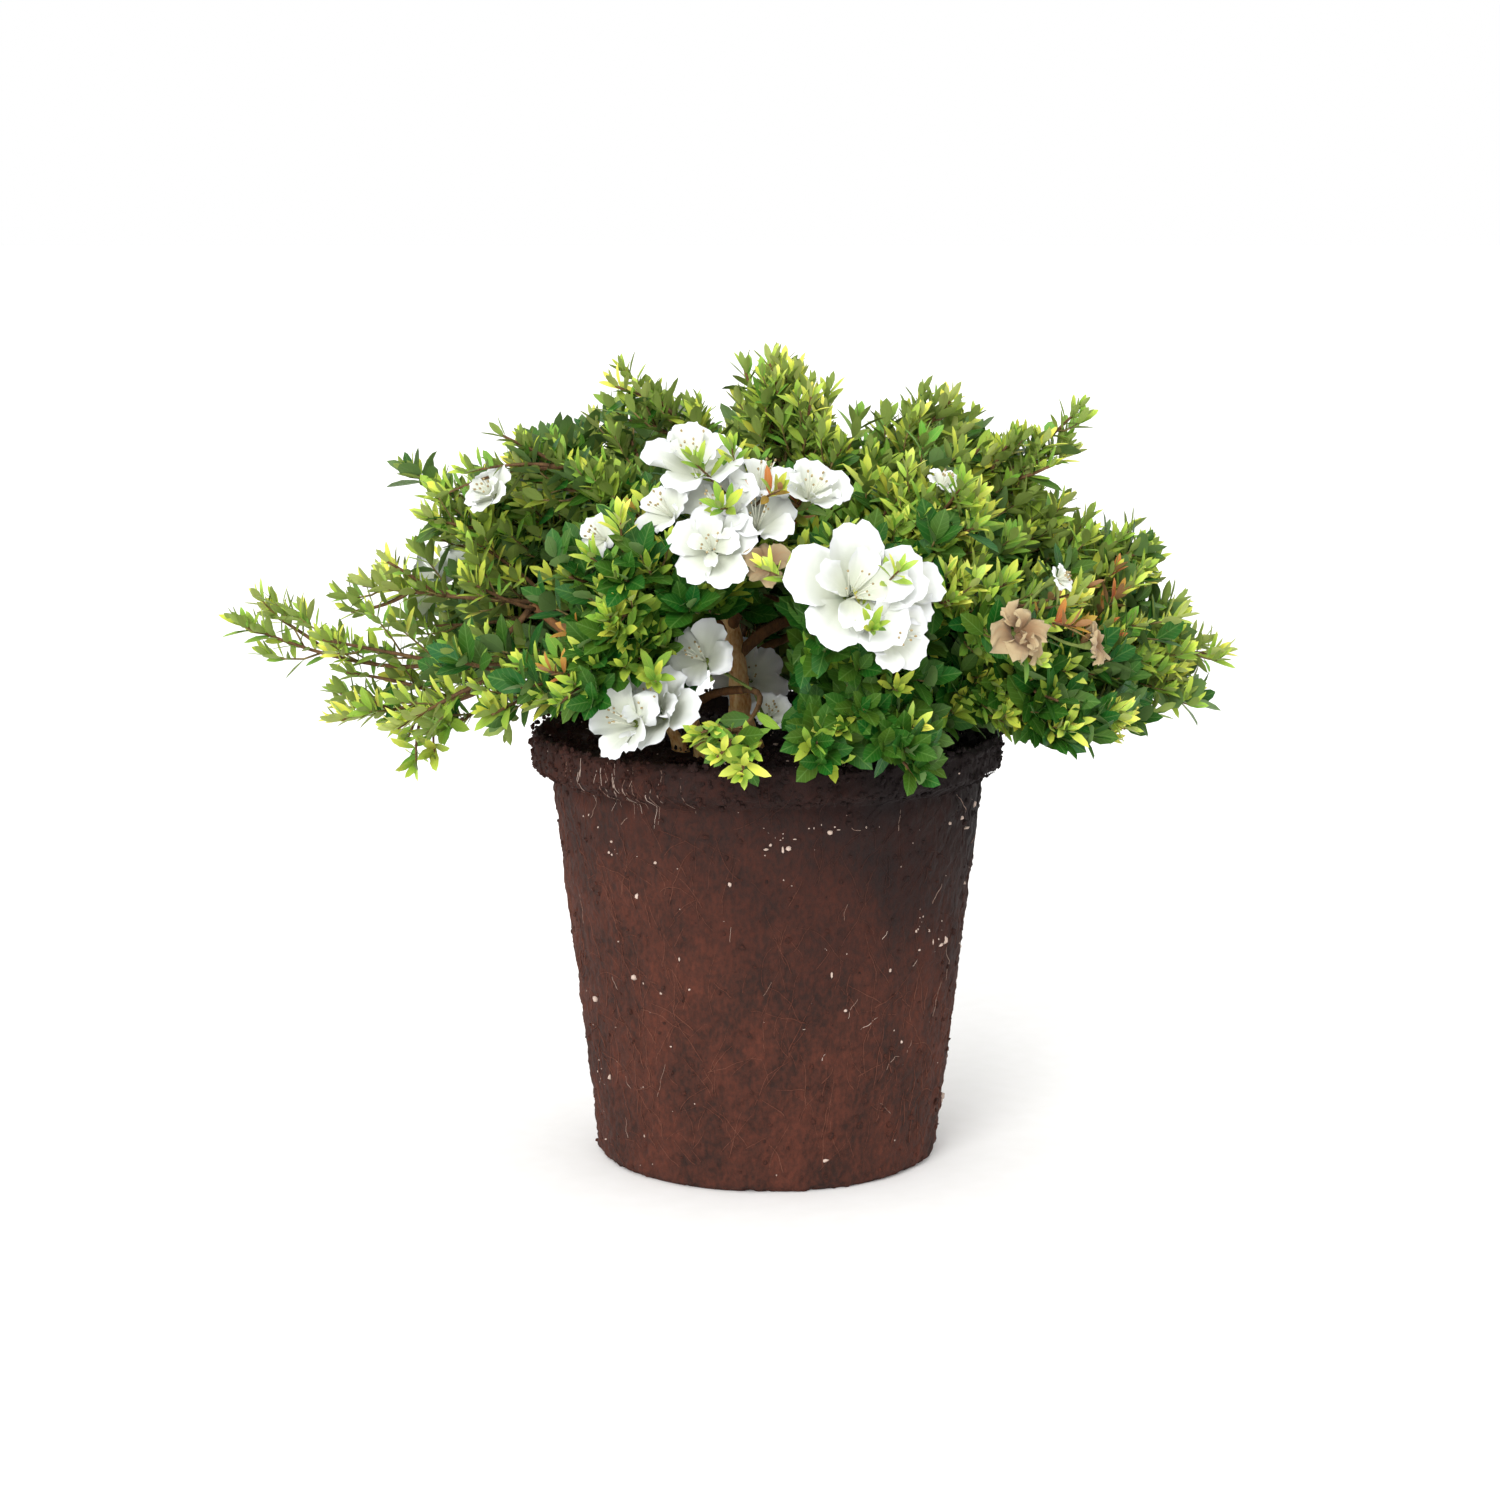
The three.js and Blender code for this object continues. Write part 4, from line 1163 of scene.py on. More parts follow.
class Foliage:
    """Every leaf of the crown, each dealt to one of the tints by its spray."""

    # Depths in the crown, 1 at its outline, where young and summer leaves begin
    YOUNG_DEPTH = 0.82
    SUMMER_DEPTH = 0.62
    DEPTH_CHANCE = 0.07
    FRESH_SHARE = 0.45
    LIGHT_UNTIL, MIDDLE_UNTIL = 0.35, 0.7
    DEEP_INNER_SPRAYS = 0.45
    # A spray turns outward and to the sky, and its leaves close from a wide to a narrow tilt
    OUTWARD = 0.35
    LIFT = 0.55
    LEAF_LIFT = 0.10
    LOW_TILT, HIGH_TILT = 64, 15
    # The leafy end of a twig, longer on the leader of a sparse mass
    LEAFY_SPAN = 0.022
    SPRIG_SPAN = 0.056
    SPRIG_FULLNESS = 0.5
    LEAFY_SHARE = 0.8
    LEAF_SPACING = 0.0019
    SHADED_LEAF_SHARE = 0.72
    FEWEST_LEAVES = 8
    OLDER_SHARE = 0.25
    # Older leaves along the wood
    OLD_LEAF_SPACING = 0.0095
    OLD_START, OLD_SPAN = 0.25, 0.62
    OLD_LIFT = 0.35
    DEEP_OLD_LEAVES = 0.30
    # Spent leaves, near the stretches of the crown that have them
    SPENT_SHARE = 0.55
    SPENT_REACH = 0.015
    # Every leaf differs a little in size, fold, droop and roll
    LENGTHS, WIDTHS = (0.84, 1.16), (0.88, 1.14)
    FOLDS, DROOPS = (0.6, 1.4), (-0.06, 0.08)
    ROLLS = (-0.35, 0.35)
    # The middle of a leaf, tested besides its tip
    MIDDLE_SHARE = 0.55

    def __init__(self, crown, growth, seed):
        self.crown = crown
        self.random = np.random.default_rng(seed)
        self.spent_starts, self.spent_ends = (
            np.array([from_hub(*ends[k]) for ends in SPENT_STRETCHES]) for k in (0, 1)
        )
        self.leaves = []
        for own, mass in enumerate(MASSES):
            start = len(self.leaves)
            sparse = mass.fullness < self.SPRIG_FULLNESS
            for twig in growth.twigs:
                if twig.own != own or twig.kind == LONE_SHOOT:
                    continue
                sprig = sparse and twig.kind == LEADER
                self.dress_tip(twig.curve, mass.shade, self.SPRIG_SPAN if sprig else self.LEAFY_SPAN)
                if twig.kind != SHOOT and not sparse:
                    self.dress_stem(twig.curve, mass.shade)
            self.keep(start, lambda points: crown.clear(points, own), (1, self.MIDDLE_SHARE))
        start = len(self.leaves)
        for twig in growth.twigs:
            if twig.kind == LONE_SHOOT:
                self.dress_tip(twig.curve, 0, self.LEAFY_SPAN)
        self.keep(start, crown.off_ball, (1,))

    def depth(self, point):
        """How far out in the crown a point lies, 1 at its outline."""
        outward = (point - HUB)[None]
        return float(np.linalg.norm(outward) / self.crown.outline(outward)[0][0])

    def tint_of(self, point, shade):
        """A tint for a spray: by its place in the crown, and a little by chance."""
        apart = distance_to_stretches(point[None], self.spent_starts, self.spent_ends)
        if apart.min() < self.SPENT_REACH:
            return SPENT
        depth = self.depth(point) + self.random.uniform(-self.DEPTH_CHANCE, self.DEPTH_CHANCE)
        if self.random.random() < shade:
            return DEEP
        chance = self.random.random()
        if depth > self.YOUNG_DEPTH:
            return FRESH if chance < self.FRESH_SHARE else LIGHT
        if depth <= self.SUMMER_DEPTH:
            return DEEP if chance < self.DEEP_INNER_SPRAYS + shade else MIDDLE
        if chance < self.LIGHT_UNTIL:
            return LIGHT
        return MIDDLE if chance < self.MIDDLE_UNTIL else OLIVE

    def add(self, base, along, face, kind, size, tint):
        """One leaf, with its own small differences."""
        random = self.random
        length = kind.length * size * random.uniform(*self.LENGTHS)
        width = length * kind.width * random.uniform(*self.WIDTHS)
        fold = kind.fold * random.uniform(*self.FOLDS)
        droop = kind.droop + random.uniform(*self.DROOPS)
        roll = random.uniform(*self.ROLLS)
        self.leaves.append(Leaf(base, along, face, length, width, fold, droop, roll, tint))

    def dress_tip(self, curve, shade, leafy):
        """Leaves in a spiral up a shoot, closing to a tuft at its tip."""
        random = self.random
        tip = curve.at(1)
        tint = self.tint_of(tip, shade)
        kind = KIND_OF_TINT[tint]
        span = min(leafy, curve.length * self.LEAFY_SHARE)
        thinning = self.SHADED_LEAF_SHARE if tint == DEEP else 1
        count = max(self.FEWEST_LEAVES, round(span / self.LEAF_SPACING * thinning))
        turn = random.uniform(0, 360)
        vigour = random.uniform(0.86, 1.12)
        for index in range(count):
            share = index / (count - 1)
            place = 1 - span / curve.length * (1 - share**0.6)
            ahead = curve.ahead(place)
            base = curve.at(place)
            axis = unit(ahead + unit(base - HUB) * self.OUTWARD + SKYWARD * self.LIFT)
            turn += GOLDEN_ANGLE + random.uniform(-12, 12)
            tilt = self.LOW_TILT + (self.HIGH_TILT - self.LOW_TILT) * share**1.4
            along = leaning(axis, tilt + random.uniform(-9, 9), turn)
            along = unit(along + SKYWARD * self.LEAF_LIFT)
            size = vigour * (0.86 + 0.34 * share - 0.56 * share**3)
            shown = OLDER[tint] if share < self.OLDER_SHARE else tint
            if tint == SPENT and random.random() > self.SPENT_SHARE:
                shown = OLIVE
            self.add(base, along, axis, kind, size, shown)

    def dress_stem(self, curve, shade):
        """Older leaves along a twig, broader and darker."""
        random = self.random
        count = int(curve.length / self.OLD_LEAF_SPACING)
        turn = random.uniform(0, 360)
        for index in range(count):
            share = self.OLD_START + self.OLD_SPAN * (index + random.uniform(0.2, 0.8)) / count
            turn += GOLDEN_ANGLE + random.uniform(-15, 15)
            base = curve.at(share)
            axis = unit(curve.ahead(share) + SKYWARD * self.OLD_LIFT)
            along = leaning(axis, self.LOW_TILT + random.uniform(-12, 12), turn)
            along = unit(along + SKYWARD * self.LEAF_LIFT)
            tint = DEEP if random.random() < self.DEEP_OLD_LEAVES + shade else MIDDLE
            self.add(base, along, axis, KIND_OF_TINT[tint], random.uniform(0.75, 1.05), tint)

    def keep(self, start, test, shares):
        """Drops the leaves from a start on whose points at these shares fail a test."""
        leaves = self.leaves[start:]
        fits = np.all([test(np.array([leaf.point(s) for leaf in leaves])) for s in shares], axis=0)
        self.leaves[start:] = [leaf for leaf, fit in zip(leaves, fits) if fit]

    def make(self, name, tints, materials):
        """One piece of the leaves that have these tints, in the same order as the materials."""
        leaves = [leaf for leaf in self.leaves if leaf.tint in tints]
        base, along, face, length, width, fold, droop, roll, tint = (
            np.array(column) for column in zip(*leaves)
        )
        over = unit(face - along * (face * along).sum(1, keepdims=True))
        across = np.cross(along, over)
        across, over = (
            across * np.cos(roll)[:, None] + over * np.sin(roll)[:, None],
            over * np.cos(roll)[:, None] - across * np.sin(roll)[:, None],
        )
        aside, ahead = LEAF_CORNERS[:, 0], LEAF_CORNERS[:, 1]
        half = width[:, None] / 2
        sideways = half * aside
        forwards = length[:, None] * ahead
        lift = fold[:, None] * half * np.abs(aside) - droop[:, None] * length[:, None] * ahead**2
        points = (
            base[:, None]
            + along[:, None] * forwards[..., None]
            + across[:, None] * sideways[..., None]
            + over[:, None] * lift[..., None]
        )
        batch = Batch()
        batch.add(points, LEAF_FACES, [tints.index(t) for t in tint])
        piece = batch.make(name, materials, "foliage")
        spread = np.stack((0.5 + aside / 2, ahead), -1)[LEAF_FACES.ravel()]
        add_blade_map(piece, np.tile(spread, (len(leaves), 1)))
        return piece


def add_blade_map(piece, spread):
    """Stores how far across and along its blade each corner of a piece lies."""
    layer = piece.data.uv_layers.new(name=BLADE_MAP, do_init=False)
    layer.uv.foreach_set("vector", np.asarray(spread, np.float32).ravel())


# Flowers
class Petals:
    """The flowers' petals, stamens and stalks, as meshes in the frame."""

    # A petal's grid and half its angle, and a flower's depth and throat as shares of its radius
    COLUMNS = 15
    ROWS = 12
    COUNT = 5
    HALF_ANGLE = math.radians(43)
    DEPTH = 0.58
    THROAT = 0.06
    # The inner whorl of a double flower: its petals, and its turn in degrees from the outer one
    INNER_COUNT = 4
    INNER_TURN = 36
    # How much a wilted flower shrinks, sags and twists
    SHRINKAGE, SAG, TWIST = 0.2, 0.45, 0.3
    # Depth and size of the crumples in a fresh petal, and what wilting adds and takes away
    CRUMPLE, WILTED_CRUMPLE = 0.0010, 0.0030
    LUMP, WILTED_LUMP = 0.010, 0.003
    # A petal's shoulders, notch and jagged edge, as shares of its length
    SHOULDERS = 0.40
    NOTCH_DEPTH, NOTCH_WIDTH = 0.08, 0.16
    JAG_DEPTH, JAGS = 0.022, 2.7
    # Its ruffle in a broad and a fine wave, its skew, and its lip that turns down
    BROAD_WAVES, FINE_WAVES = 0.8, 2.0
    RUFFLE, WILTED_RUFFLE = 0.12, 0.2
    SKEW = 0.06
    LIP_START, LIP_SPAN = 0.7, 0.3
    # Stamens
    STAMEN_COUNT = 8
    STAMEN_RINGS, STAMEN_SIDES = 6, 5
    FILAMENT_RADIUS = 0.00033
    ANTHER_START, ANTHER_END = -0.0006, 0.0012
    ANTHER_RADII = np.array((0.0003, 0.0006, 0.0007, 0.0006, 0.0003))
    ANTHER_SIDES = 6
    # A stalk: how far it runs straight below its flower, and its radii up to its calyx
    STALK_DROP = 0.012
    STALK_RINGS, STALK_SIDES = 9, 6
    STALK_SHARES = (0, 0.75, 1)
    STALK_RADII = (0.0009, 0.0010, 0.0030)

    def __init__(self, crown, growth, seed):
        self.random = np.random.default_rng(seed)
        self.white, self.wilted = Batch(), Batch()
        self.stamens, self.stalks = Batch(), Batch()
        self.faces = grid_triangles(self.ROWS, self.COLUMNS)
        for index, flower in enumerate(FLOWERS):
            self.add_flower(crown, growth, index, flower)

    def add_flower(self, crown, growth, index, flower):
        """Ruffled petals, and a second smaller whorl in a double flower, on a stalk."""
        random = self.random
        facing = crown.flower_facings[index]
        across = square_to(facing)[0]
        over = np.cross(facing, across)
        centre = crown.flower_centres[index]

        def placed(local):
            return centre + local[..., :1] * across + local[..., 1:2] * over + local[..., 2:] * facing

        radius = flower.radius * (1 - self.SHRINKAGE * flower.wilt)
        apart, inner_apart = 360 / self.COUNT, 360 / self.INNER_COUNT
        turn = random.uniform(0, apart)
        batch = self.wilted if flower.wilt else self.white
        for petal in range(self.COUNT):
            angle = math.radians(turn + petal * apart + random.uniform(-7, 7))
            length = radius * random.uniform(0.90, 1.08)
            tilt = random.uniform(-0.16, 0.14)
            local = self.petal(angle, length, self.HALF_ANGLE, tilt, flower.wilt)
            batch.add(placed(local), self.faces)
        turn += self.INNER_TURN
        for petal in range(self.INNER_COUNT if flower.doubled else 0):
            angle = math.radians(turn + petal * inner_apart + random.uniform(-18, 18))
            length = radius * random.uniform(0.50, 0.74)
            tilt = random.uniform(0.22, 0.52)
            width = self.HALF_ANGLE * random.uniform(0.72, 0.95)
            local = self.petal(angle, length, width, tilt, flower.wilt)
            batch.add(placed(local), self.faces)
        if not flower.wilt:
            self.add_stamens(placed, radius)
        self.add_stalk(growth.leaders[crown.flower_owners[index]], placed, radius)

    def petal(self, angle, radius, half_angle, tilt, wilt):
        """One petal from the throat to its broad, notched and ruffled lip."""
        random = self.random
        aside = np.linspace(-1, 1, self.COLUMNS)[None]
        along = np.linspace(0, 1, self.ROWS)[:, None] ** 0.8
        first, second, third = random.uniform(0, 2 * math.pi, 3)
        shoulders = 1 - self.SHOULDERS * np.abs(aside) ** 2.2 * along**1.5
        from_notch = (aside - random.uniform(-0.1, 0.1)) / self.NOTCH_WIDTH
        notch = self.NOTCH_DEPTH * along**6 * np.exp(-(from_notch**2))
        jagged = self.JAG_DEPTH * along**4 * np.sin(2 * math.pi * self.JAGS * aside + third)
        reach = radius * (self.THROAT + (1 - self.THROAT) * along * shoulders - notch + jagged)
        theta = angle + aside * half_angle * random.uniform(0.92, 1.06)
        ruffle = 0.5 * np.sin(2 * math.pi * self.BROAD_WAVES * aside + first)
        ruffle = ruffle + 0.5 * np.sin(2 * math.pi * self.FINE_WAVES * aside + second)
        ruffle = ruffle * along**2.2 * (0.25 + 0.75 * np.abs(aside))
        lip = np.clip((along - self.LIP_START) / self.LIP_SPAN, 0, 1) ** 2
        lip = lip * random.uniform(-0.05, 0.20)
        height = -self.DEPTH * radius * (1 - along) ** 1.5 + radius * tilt * along
        height = height - radius * lip + radius * (self.RUFFLE + self.WILTED_RUFFLE * wilt) * ruffle
        height = height + radius * self.SKEW * aside * along
        height = height - radius * wilt * self.SAG * along**2 * random.uniform(0.5, 1.5)
        theta = theta + wilt * self.TWIST * np.sin(4 * along + first)
        local = np.stack((reach * np.cos(theta), reach * np.sin(theta), height), -1).reshape(-1, 3)
        crumple = self.CRUMPLE + self.WILTED_CRUMPLE * wilt
        lumps = self.LUMP - self.WILTED_LUMP * wilt
        shift = random.uniform(-1, 1, 3)
        drift = np.stack([noise(local + shift, lumps, salt) for salt in (31, 32, 33)], -1)
        return local + drift * crumple * np.repeat(along, self.COLUMNS, 1).reshape(-1, 1)

    def add_stamens(self, placed, radius):
        """Thin curved filaments with small anthers at their tips."""
        random = self.random
        rings, sides = self.STAMEN_RINGS, self.STAMEN_SIDES
        thick = np.full(rings, self.FILAMENT_RADIUS)
        beads, bead_sides = len(self.ANTHER_RADII), self.ANTHER_SIDES
        for index in range(self.STAMEN_COUNT):
            turn = math.radians(index * 360 / self.STAMEN_COUNT + random.uniform(-15, 15))
            lean = random.uniform(0.10, 0.26)
            tall = random.uniform(0.10, 0.34)
            share = np.linspace(0, 1, rings)[:, None]
            out = radius * (0.03 + lean * share**1.3)
            high = radius * (-self.DEPTH + 0.04 + (self.DEPTH + tall) * share)
            spine = np.concatenate((out * math.cos(turn), out * math.sin(turn), high), 1)
            spine = placed(spine)
            self.stamens.add(tube_points(spine, thick, sides), tube_triangles(rings, sides), 0)
            ahead = unit(spine[-1] - spine[-2])
            bead = spine[-1] + ahead * np.linspace(self.ANTHER_START, self.ANTHER_END, beads)[:, None]
            anther = tube_points(bead, self.ANTHER_RADII, bead_sides)
            self.stamens.add(anther, tube_triangles(beads, bead_sides), 1)

    def add_stalk(self, leader, placed, radius):
        """A stalk from the leader to the flower's base, swelling into its calyx."""
        base = placed(np.array((0.0, 0.0, -self.DEPTH * radius)))
        below = placed(np.array((0.0, 0.0, -self.DEPTH * radius - self.STALK_DROP)))
        shares = np.linspace(0.1, 1, 30)
        along = leader.at(shares)
        foot = along[np.linalg.norm(along - below, axis=1).argmin()]
        rings, sides = self.STALK_RINGS, self.STALK_SIDES
        shares = np.linspace(0, 1, rings)
        spine = Curve(foot, below, base).at(shares)
        radii = np.interp(shares, self.STALK_SHARES, self.STALK_RADII)
        self.stalks.add(tube_points(spine, radii, sides), tube_triangles(rings, sides))

    def map_petals(self, piece):
        """Stores how far across and along its petal each corner lies."""
        along, aside = np.linspace(0, 1, self.ROWS), np.linspace(0, 1, self.COLUMNS)
        along, aside = np.meshgrid(along, aside, indexing="ij")
        spread = np.stack((aside.ravel(), along.ravel()), -1)[self.faces.ravel()]
        copies = len(piece.data.polygons) // len(self.faces)
        add_blade_map(piece, np.tile(spread, (copies, 1)))


# Root ball: the corners of its profile, from the middle of its underside to that of its soil
BALL_CORNERS = np.array((
    (0, 0),
    (FOOT_RADIUS - BALL_EDGE, 0),
    (FOOT_RADIUS, BALL_EDGE),
    (WAIST_RADIUS, BALL_HEIGHT - COLLAR_HEIGHT - BALL_EDGE),
    (COLLAR_RADIUS - BALL_EDGE, BALL_HEIGHT - COLLAR_HEIGHT),
    (COLLAR_RADIUS, BALL_HEIGHT - COLLAR_HEIGHT + BALL_EDGE),
    (COLLAR_RADIUS, BALL_HEIGHT - BALL_EDGE),
    (COLLAR_RADIUS - BALL_EDGE, BALL_HEIGHT),
    (COLLAR_RADIUS - 2 * BALL_EDGE, BALL_HEIGHT),
    (SOIL_RADIUS, SOIL_LEVEL),
    (0, SOIL_LEVEL),
))
FOOT_CORNER, SOIL_CORNER = 1, 9
SIDE_CORNERS = BALL_CORNERS[2:7]


class RootBall:
    """The root ball's surface: a turned profile with the relief of peat and roots."""

    COLUMNS = 360
    BOTTOM_ROWS = 10
    SIDE_ROWS = 152
    TOP_ROWS = 30
    # The first row and the last one, as shares of the underside and of the soil
    FIRST_ROW, LAST_ROW = 0.03, 0.985
    # Sizes of the lumps, crumbs, upright fibres and veins of the peat
    BROAD_LUMPS, LUMPS = 0.030, 0.012
    CRUMBS, FINE_CRUMBS = 0.0052, 0.0027
    FIBRES = (0.0036, 0.0036, 0.020)
    VEINS = 0.013
    # The height below the collar over which the side's relief gives way to the top's
    COLLAR_BLEND = 0.012

    def __init__(self, depth):
        self.depth = depth
        lengths = np.linalg.norm(np.diff(BALL_CORNERS, axis=0), axis=1)
        reached = np.concatenate(([0.0], np.cumsum(lengths)))
        foot, soil = reached[FOOT_CORNER], reached[SOIL_CORNER]
        stops = np.concatenate((
            np.linspace(0.0, foot, self.BOTTOM_ROWS, endpoint=False),
            np.linspace(foot, soil, self.SIDE_ROWS, endpoint=False),
            soil + (reached[-1] - soil) * np.linspace(0, self.LAST_ROW, self.TOP_ROWS),
        ))
        stops[0] = self.FIRST_ROW * foot
        self.radii = np.interp(stops, reached, BALL_CORNERS[:, 0])
        self.levels = np.interp(stops, reached, BALL_CORNERS[:, 1])
        slope_out, slope_up = np.gradient(self.radii), np.gradient(self.levels)
        steep = np.hypot(slope_out, slope_up)
        self.outs, self.ups = slope_up / steep, -slope_out / steep

    def relief(self, points):
        """How far the surface stands out at each point: lumps, crumbs and upright fibres."""
        level = points[..., 2]
        blend = self.COLLAR_BLEND
        collar = np.clip((level - (BALL_HEIGHT - COLLAR_HEIGHT - blend)) / blend, 0, 1)
        lumps = noise(points, self.BROAD_LUMPS, 1) + 0.8 * noise(points, self.LUMPS, 2)
        crumbs = 0.6 * noise(points, self.CRUMBS, 3) + 0.55 * noise(points, self.FINE_CRUMBS, 4)
        fibres = ridges(points, self.FIBRES, 5) ** 5 + ridges(points, self.VEINS, 6) ** 9
        side = 0.8 * lumps + 1.6 * crumbs + 0.6 * fibres
        top = 1.4 * lumps + 2.2 * crumbs - 3.4
        return self.depth * (side * (1 - collar) + top * collar)

    def make(self, material):
        """The closed surface, its underside pressed flat."""
        turn = np.linspace(0, 2 * math.pi, self.COLUMNS, endpoint=False)
        around = level_directions(turn)
        plain = around[None] * self.radii[:, None, None]
        plain = plain + self.levels[:, None, None] * SKYWARD
        outward = around[None] * self.outs[:, None, None] + self.ups[:, None, None] * SKYWARD
        points = plain + outward * self.relief(plain)[..., None]
        points[..., 2] = np.maximum(points[..., 2], 0)
        points[: self.BOTTOM_ROWS, :, 2] = 0
        ends = np.array(((0.0, 0.0, 0.0), (0.0, 0.0, SOIL_LEVEL)))
        points = np.concatenate((points.reshape(-1, 3), ends))
        faces = tube_triangles(len(self.radii), self.COLUMNS)
        return make_piece("root_ball_soil", points, faces, [material])

    def on_side(self, turn, level, lift=0.0):
        """The point of the finished side at a turn round it and a level, lifted off a little."""
        radius = np.interp(level, SIDE_CORNERS[:, 1], SIDE_CORNERS[:, 0])
        around = level_directions(turn)
        plain = around * radius[..., None] + level[..., None] * SKYWARD
        return plain + around * (self.relief(plain) + lift)[..., None]


def lump_template():
    """The corners and triangles of a round lump."""
    ball = bmesh.new()
    bmesh.ops.create_icosphere(ball, subdivisions=1, radius=1.0)
    corners = np.array([v.co for v in ball.verts])
    faces = np.array([[v.index for v in f.verts] for f in ball.faces])
    ball.free()
    return corners, faces


def scatter_lumps(random, places, radii, uneven):
    """Rough lumps at the given places, each stretched by up to a share along each axis."""
    corners, faces = lump_template()
    count = len(places)
    rough = random.uniform(0.72, 1.22, (count, len(corners), 1))
    stretch = random.uniform(1 - uneven, 1 + uneven, (count, 1, 3))
    shapes = corners[None] * rough * stretch * np.asarray(radii)[:, None, None]
    return places[:, None] + shapes, faces


class BallDetails:
    """Fine roots, white mineral specks and loose crumbs on the root ball."""

    # How far the details stay from the side's ends, and lie in it or above the soil
    END_GAP = 0.004
    PRESSED = -0.0002
    RESTING = 0.0004
    # The roots: their grid, and how they wander and stand
    RINGS, SIDES = 10, 4
    WANDER = 0.16
    UPRIGHT_SHARE = 0.7
    # The shares up to the tan and the pale roots, and the lengths and radii of all three
    ROOT_LIMITS = (0.93, 0.985)
    ROOT_LENGTHS = ((0.012, 0.045), (0.006, 0.026), (0.004, 0.016))
    ROOT_RADII = ((0.00014, 0.00034), (0.00014, 0.00026), (0.00018, 0.00030))
    # The tuft of roots over the collar: its middle and its spread in degrees round the ball
    TUFT_TURN, TUFT_SPREAD = -131, 9
    TUFT_WANDER = 0.09
    # Specks lie singly and in groups, which spread by an angle and a height
    SPECK_GROUPS = 22
    GROUP_TURN, GROUP_HEIGHT = 0.10, 0.006
    # The smallest radius of a speck and of a crumb, what chance adds, and their unevenness
    SPECK_RADIUS, SPECK_MORE, SPECK_UNEVEN = 0.0004, 0.0015, 0.65
    CRUMB_RADIUS, CRUMB_MORE, CRUMB_UNEVEN = 0.0006, 0.0016, 0.3
    # The soil's edge towards the collar, where details climb its slope
    SLOPE = 0.010

    def __init__(self, ball, seed):
        self.ball = ball
        self.random = np.random.default_rng(seed)

    def between_ends(self, level):
        """Levels kept off the side's ends."""
        return np.clip(level, self.END_GAP, BALL_HEIGHT - self.END_GAP)

    def thread(self, batch, turn, level, length, slope, wander, thick, tint):
        """One root along the side from a turn and a level, slope 0 leading straight up."""
        rings, sides = self.RINGS, self.SIDES
        bends = slope + np.cumsum(self.random.normal(0, wander, rings))
        steps = length / rings
        turns = turn + np.cumsum(np.sin(bends) * steps) / WAIST_RADIUS
        levels = self.between_ends(level + np.cumsum(np.cos(bends) * steps))
        spine = self.ball.on_side(turns, levels, thick * 0.4)
        radii = thick * np.linspace(1, 0.5, rings)
        batch.add(tube_points(spine, radii, sides), tube_triangles(rings, sides), tint)

    def roots(self, count):
        """Thin roots that wander over the side, mostly upright, and a few pale ones."""
        random, batch = self.random, Batch()
        for _ in range(count):
            upright = random.random() < self.UPRIGHT_SHARE
            slope = random.normal(0, 0.5) if upright else random.uniform(-1.5, 1.5)
            turn = random.uniform(0, 2 * math.pi)
            level = random.uniform(0.006, BALL_HEIGHT - COLLAR_HEIGHT)
            chance = random.random()
            tint = sum(chance >= limit for limit in self.ROOT_LIMITS)
            length = random.uniform(*self.ROOT_LENGTHS[tint])
            thick = random.uniform(*self.ROOT_RADII[tint])
            self.thread(batch, turn, level, length, slope, self.WANDER, thick, tint)
        return batch

    def collar_roots(self, batch, count):
        """Pale root threads that hang over the collar at the left of the front."""
        random = self.random
        for _ in range(count):
            turn = math.radians(random.normal(self.TUFT_TURN, self.TUFT_SPREAD))
            level = BALL_HEIGHT - random.uniform(0.002, 0.016)
            length = random.uniform(0.008, 0.028)
            thick = random.uniform(0.00013, 0.00022)
            slope = math.pi + random.normal(0, 0.14)
            tint = random.integers(1, 3)
            self.thread(batch, turn, level, length, slope, self.TUFT_WANDER, thick, tint)

    def side_places(self, count):
        """Places spread over the side."""
        turn = self.random.uniform(0, 2 * math.pi, count)
        level = self.random.uniform(self.END_GAP, BALL_HEIGHT - self.END_GAP, count)
        return self.ball.on_side(turn, level, self.PRESSED)

    def specks(self, count):
        """White mineral specks pressed into the side and scattered over the top."""
        random = self.random
        single = self.side_places(count // 2)
        turn = random.uniform(0, 2 * math.pi, self.SPECK_GROUPS)
        level = random.uniform(0.02, BALL_HEIGHT - 0.03, self.SPECK_GROUPS)
        group = random.integers(0, self.SPECK_GROUPS, count // 2)
        turn = turn[group] + random.normal(0, self.GROUP_TURN, count // 2)
        level = self.between_ends(level[group] + random.normal(0, self.GROUP_HEIGHT, count // 2))
        grouped = self.ball.on_side(turn, level, self.PRESSED)
        places = np.concatenate((single, grouped, self.top_places(count // 4)))
        radii = self.SPECK_RADIUS + self.SPECK_MORE * random.random(len(places)) ** 4
        return scatter_lumps(random, places, radii, self.SPECK_UNEVEN)

    def top_places(self, count):
        """Places spread over the soil inside the collar."""
        radius = (COLLAR_RADIUS - self.SLOPE) * np.sqrt(self.random.uniform(0.01, 1, count))
        turn = self.random.uniform(0, 2 * math.pi, count)
        rim = np.clip((radius - SOIL_RADIUS) / self.SLOPE, 0, 1)
        level = SOIL_LEVEL + rim * (BALL_HEIGHT - SOIL_LEVEL)
        return np.stack((radius * np.cos(turn), radius * np.sin(turn), level + self.RESTING), -1)

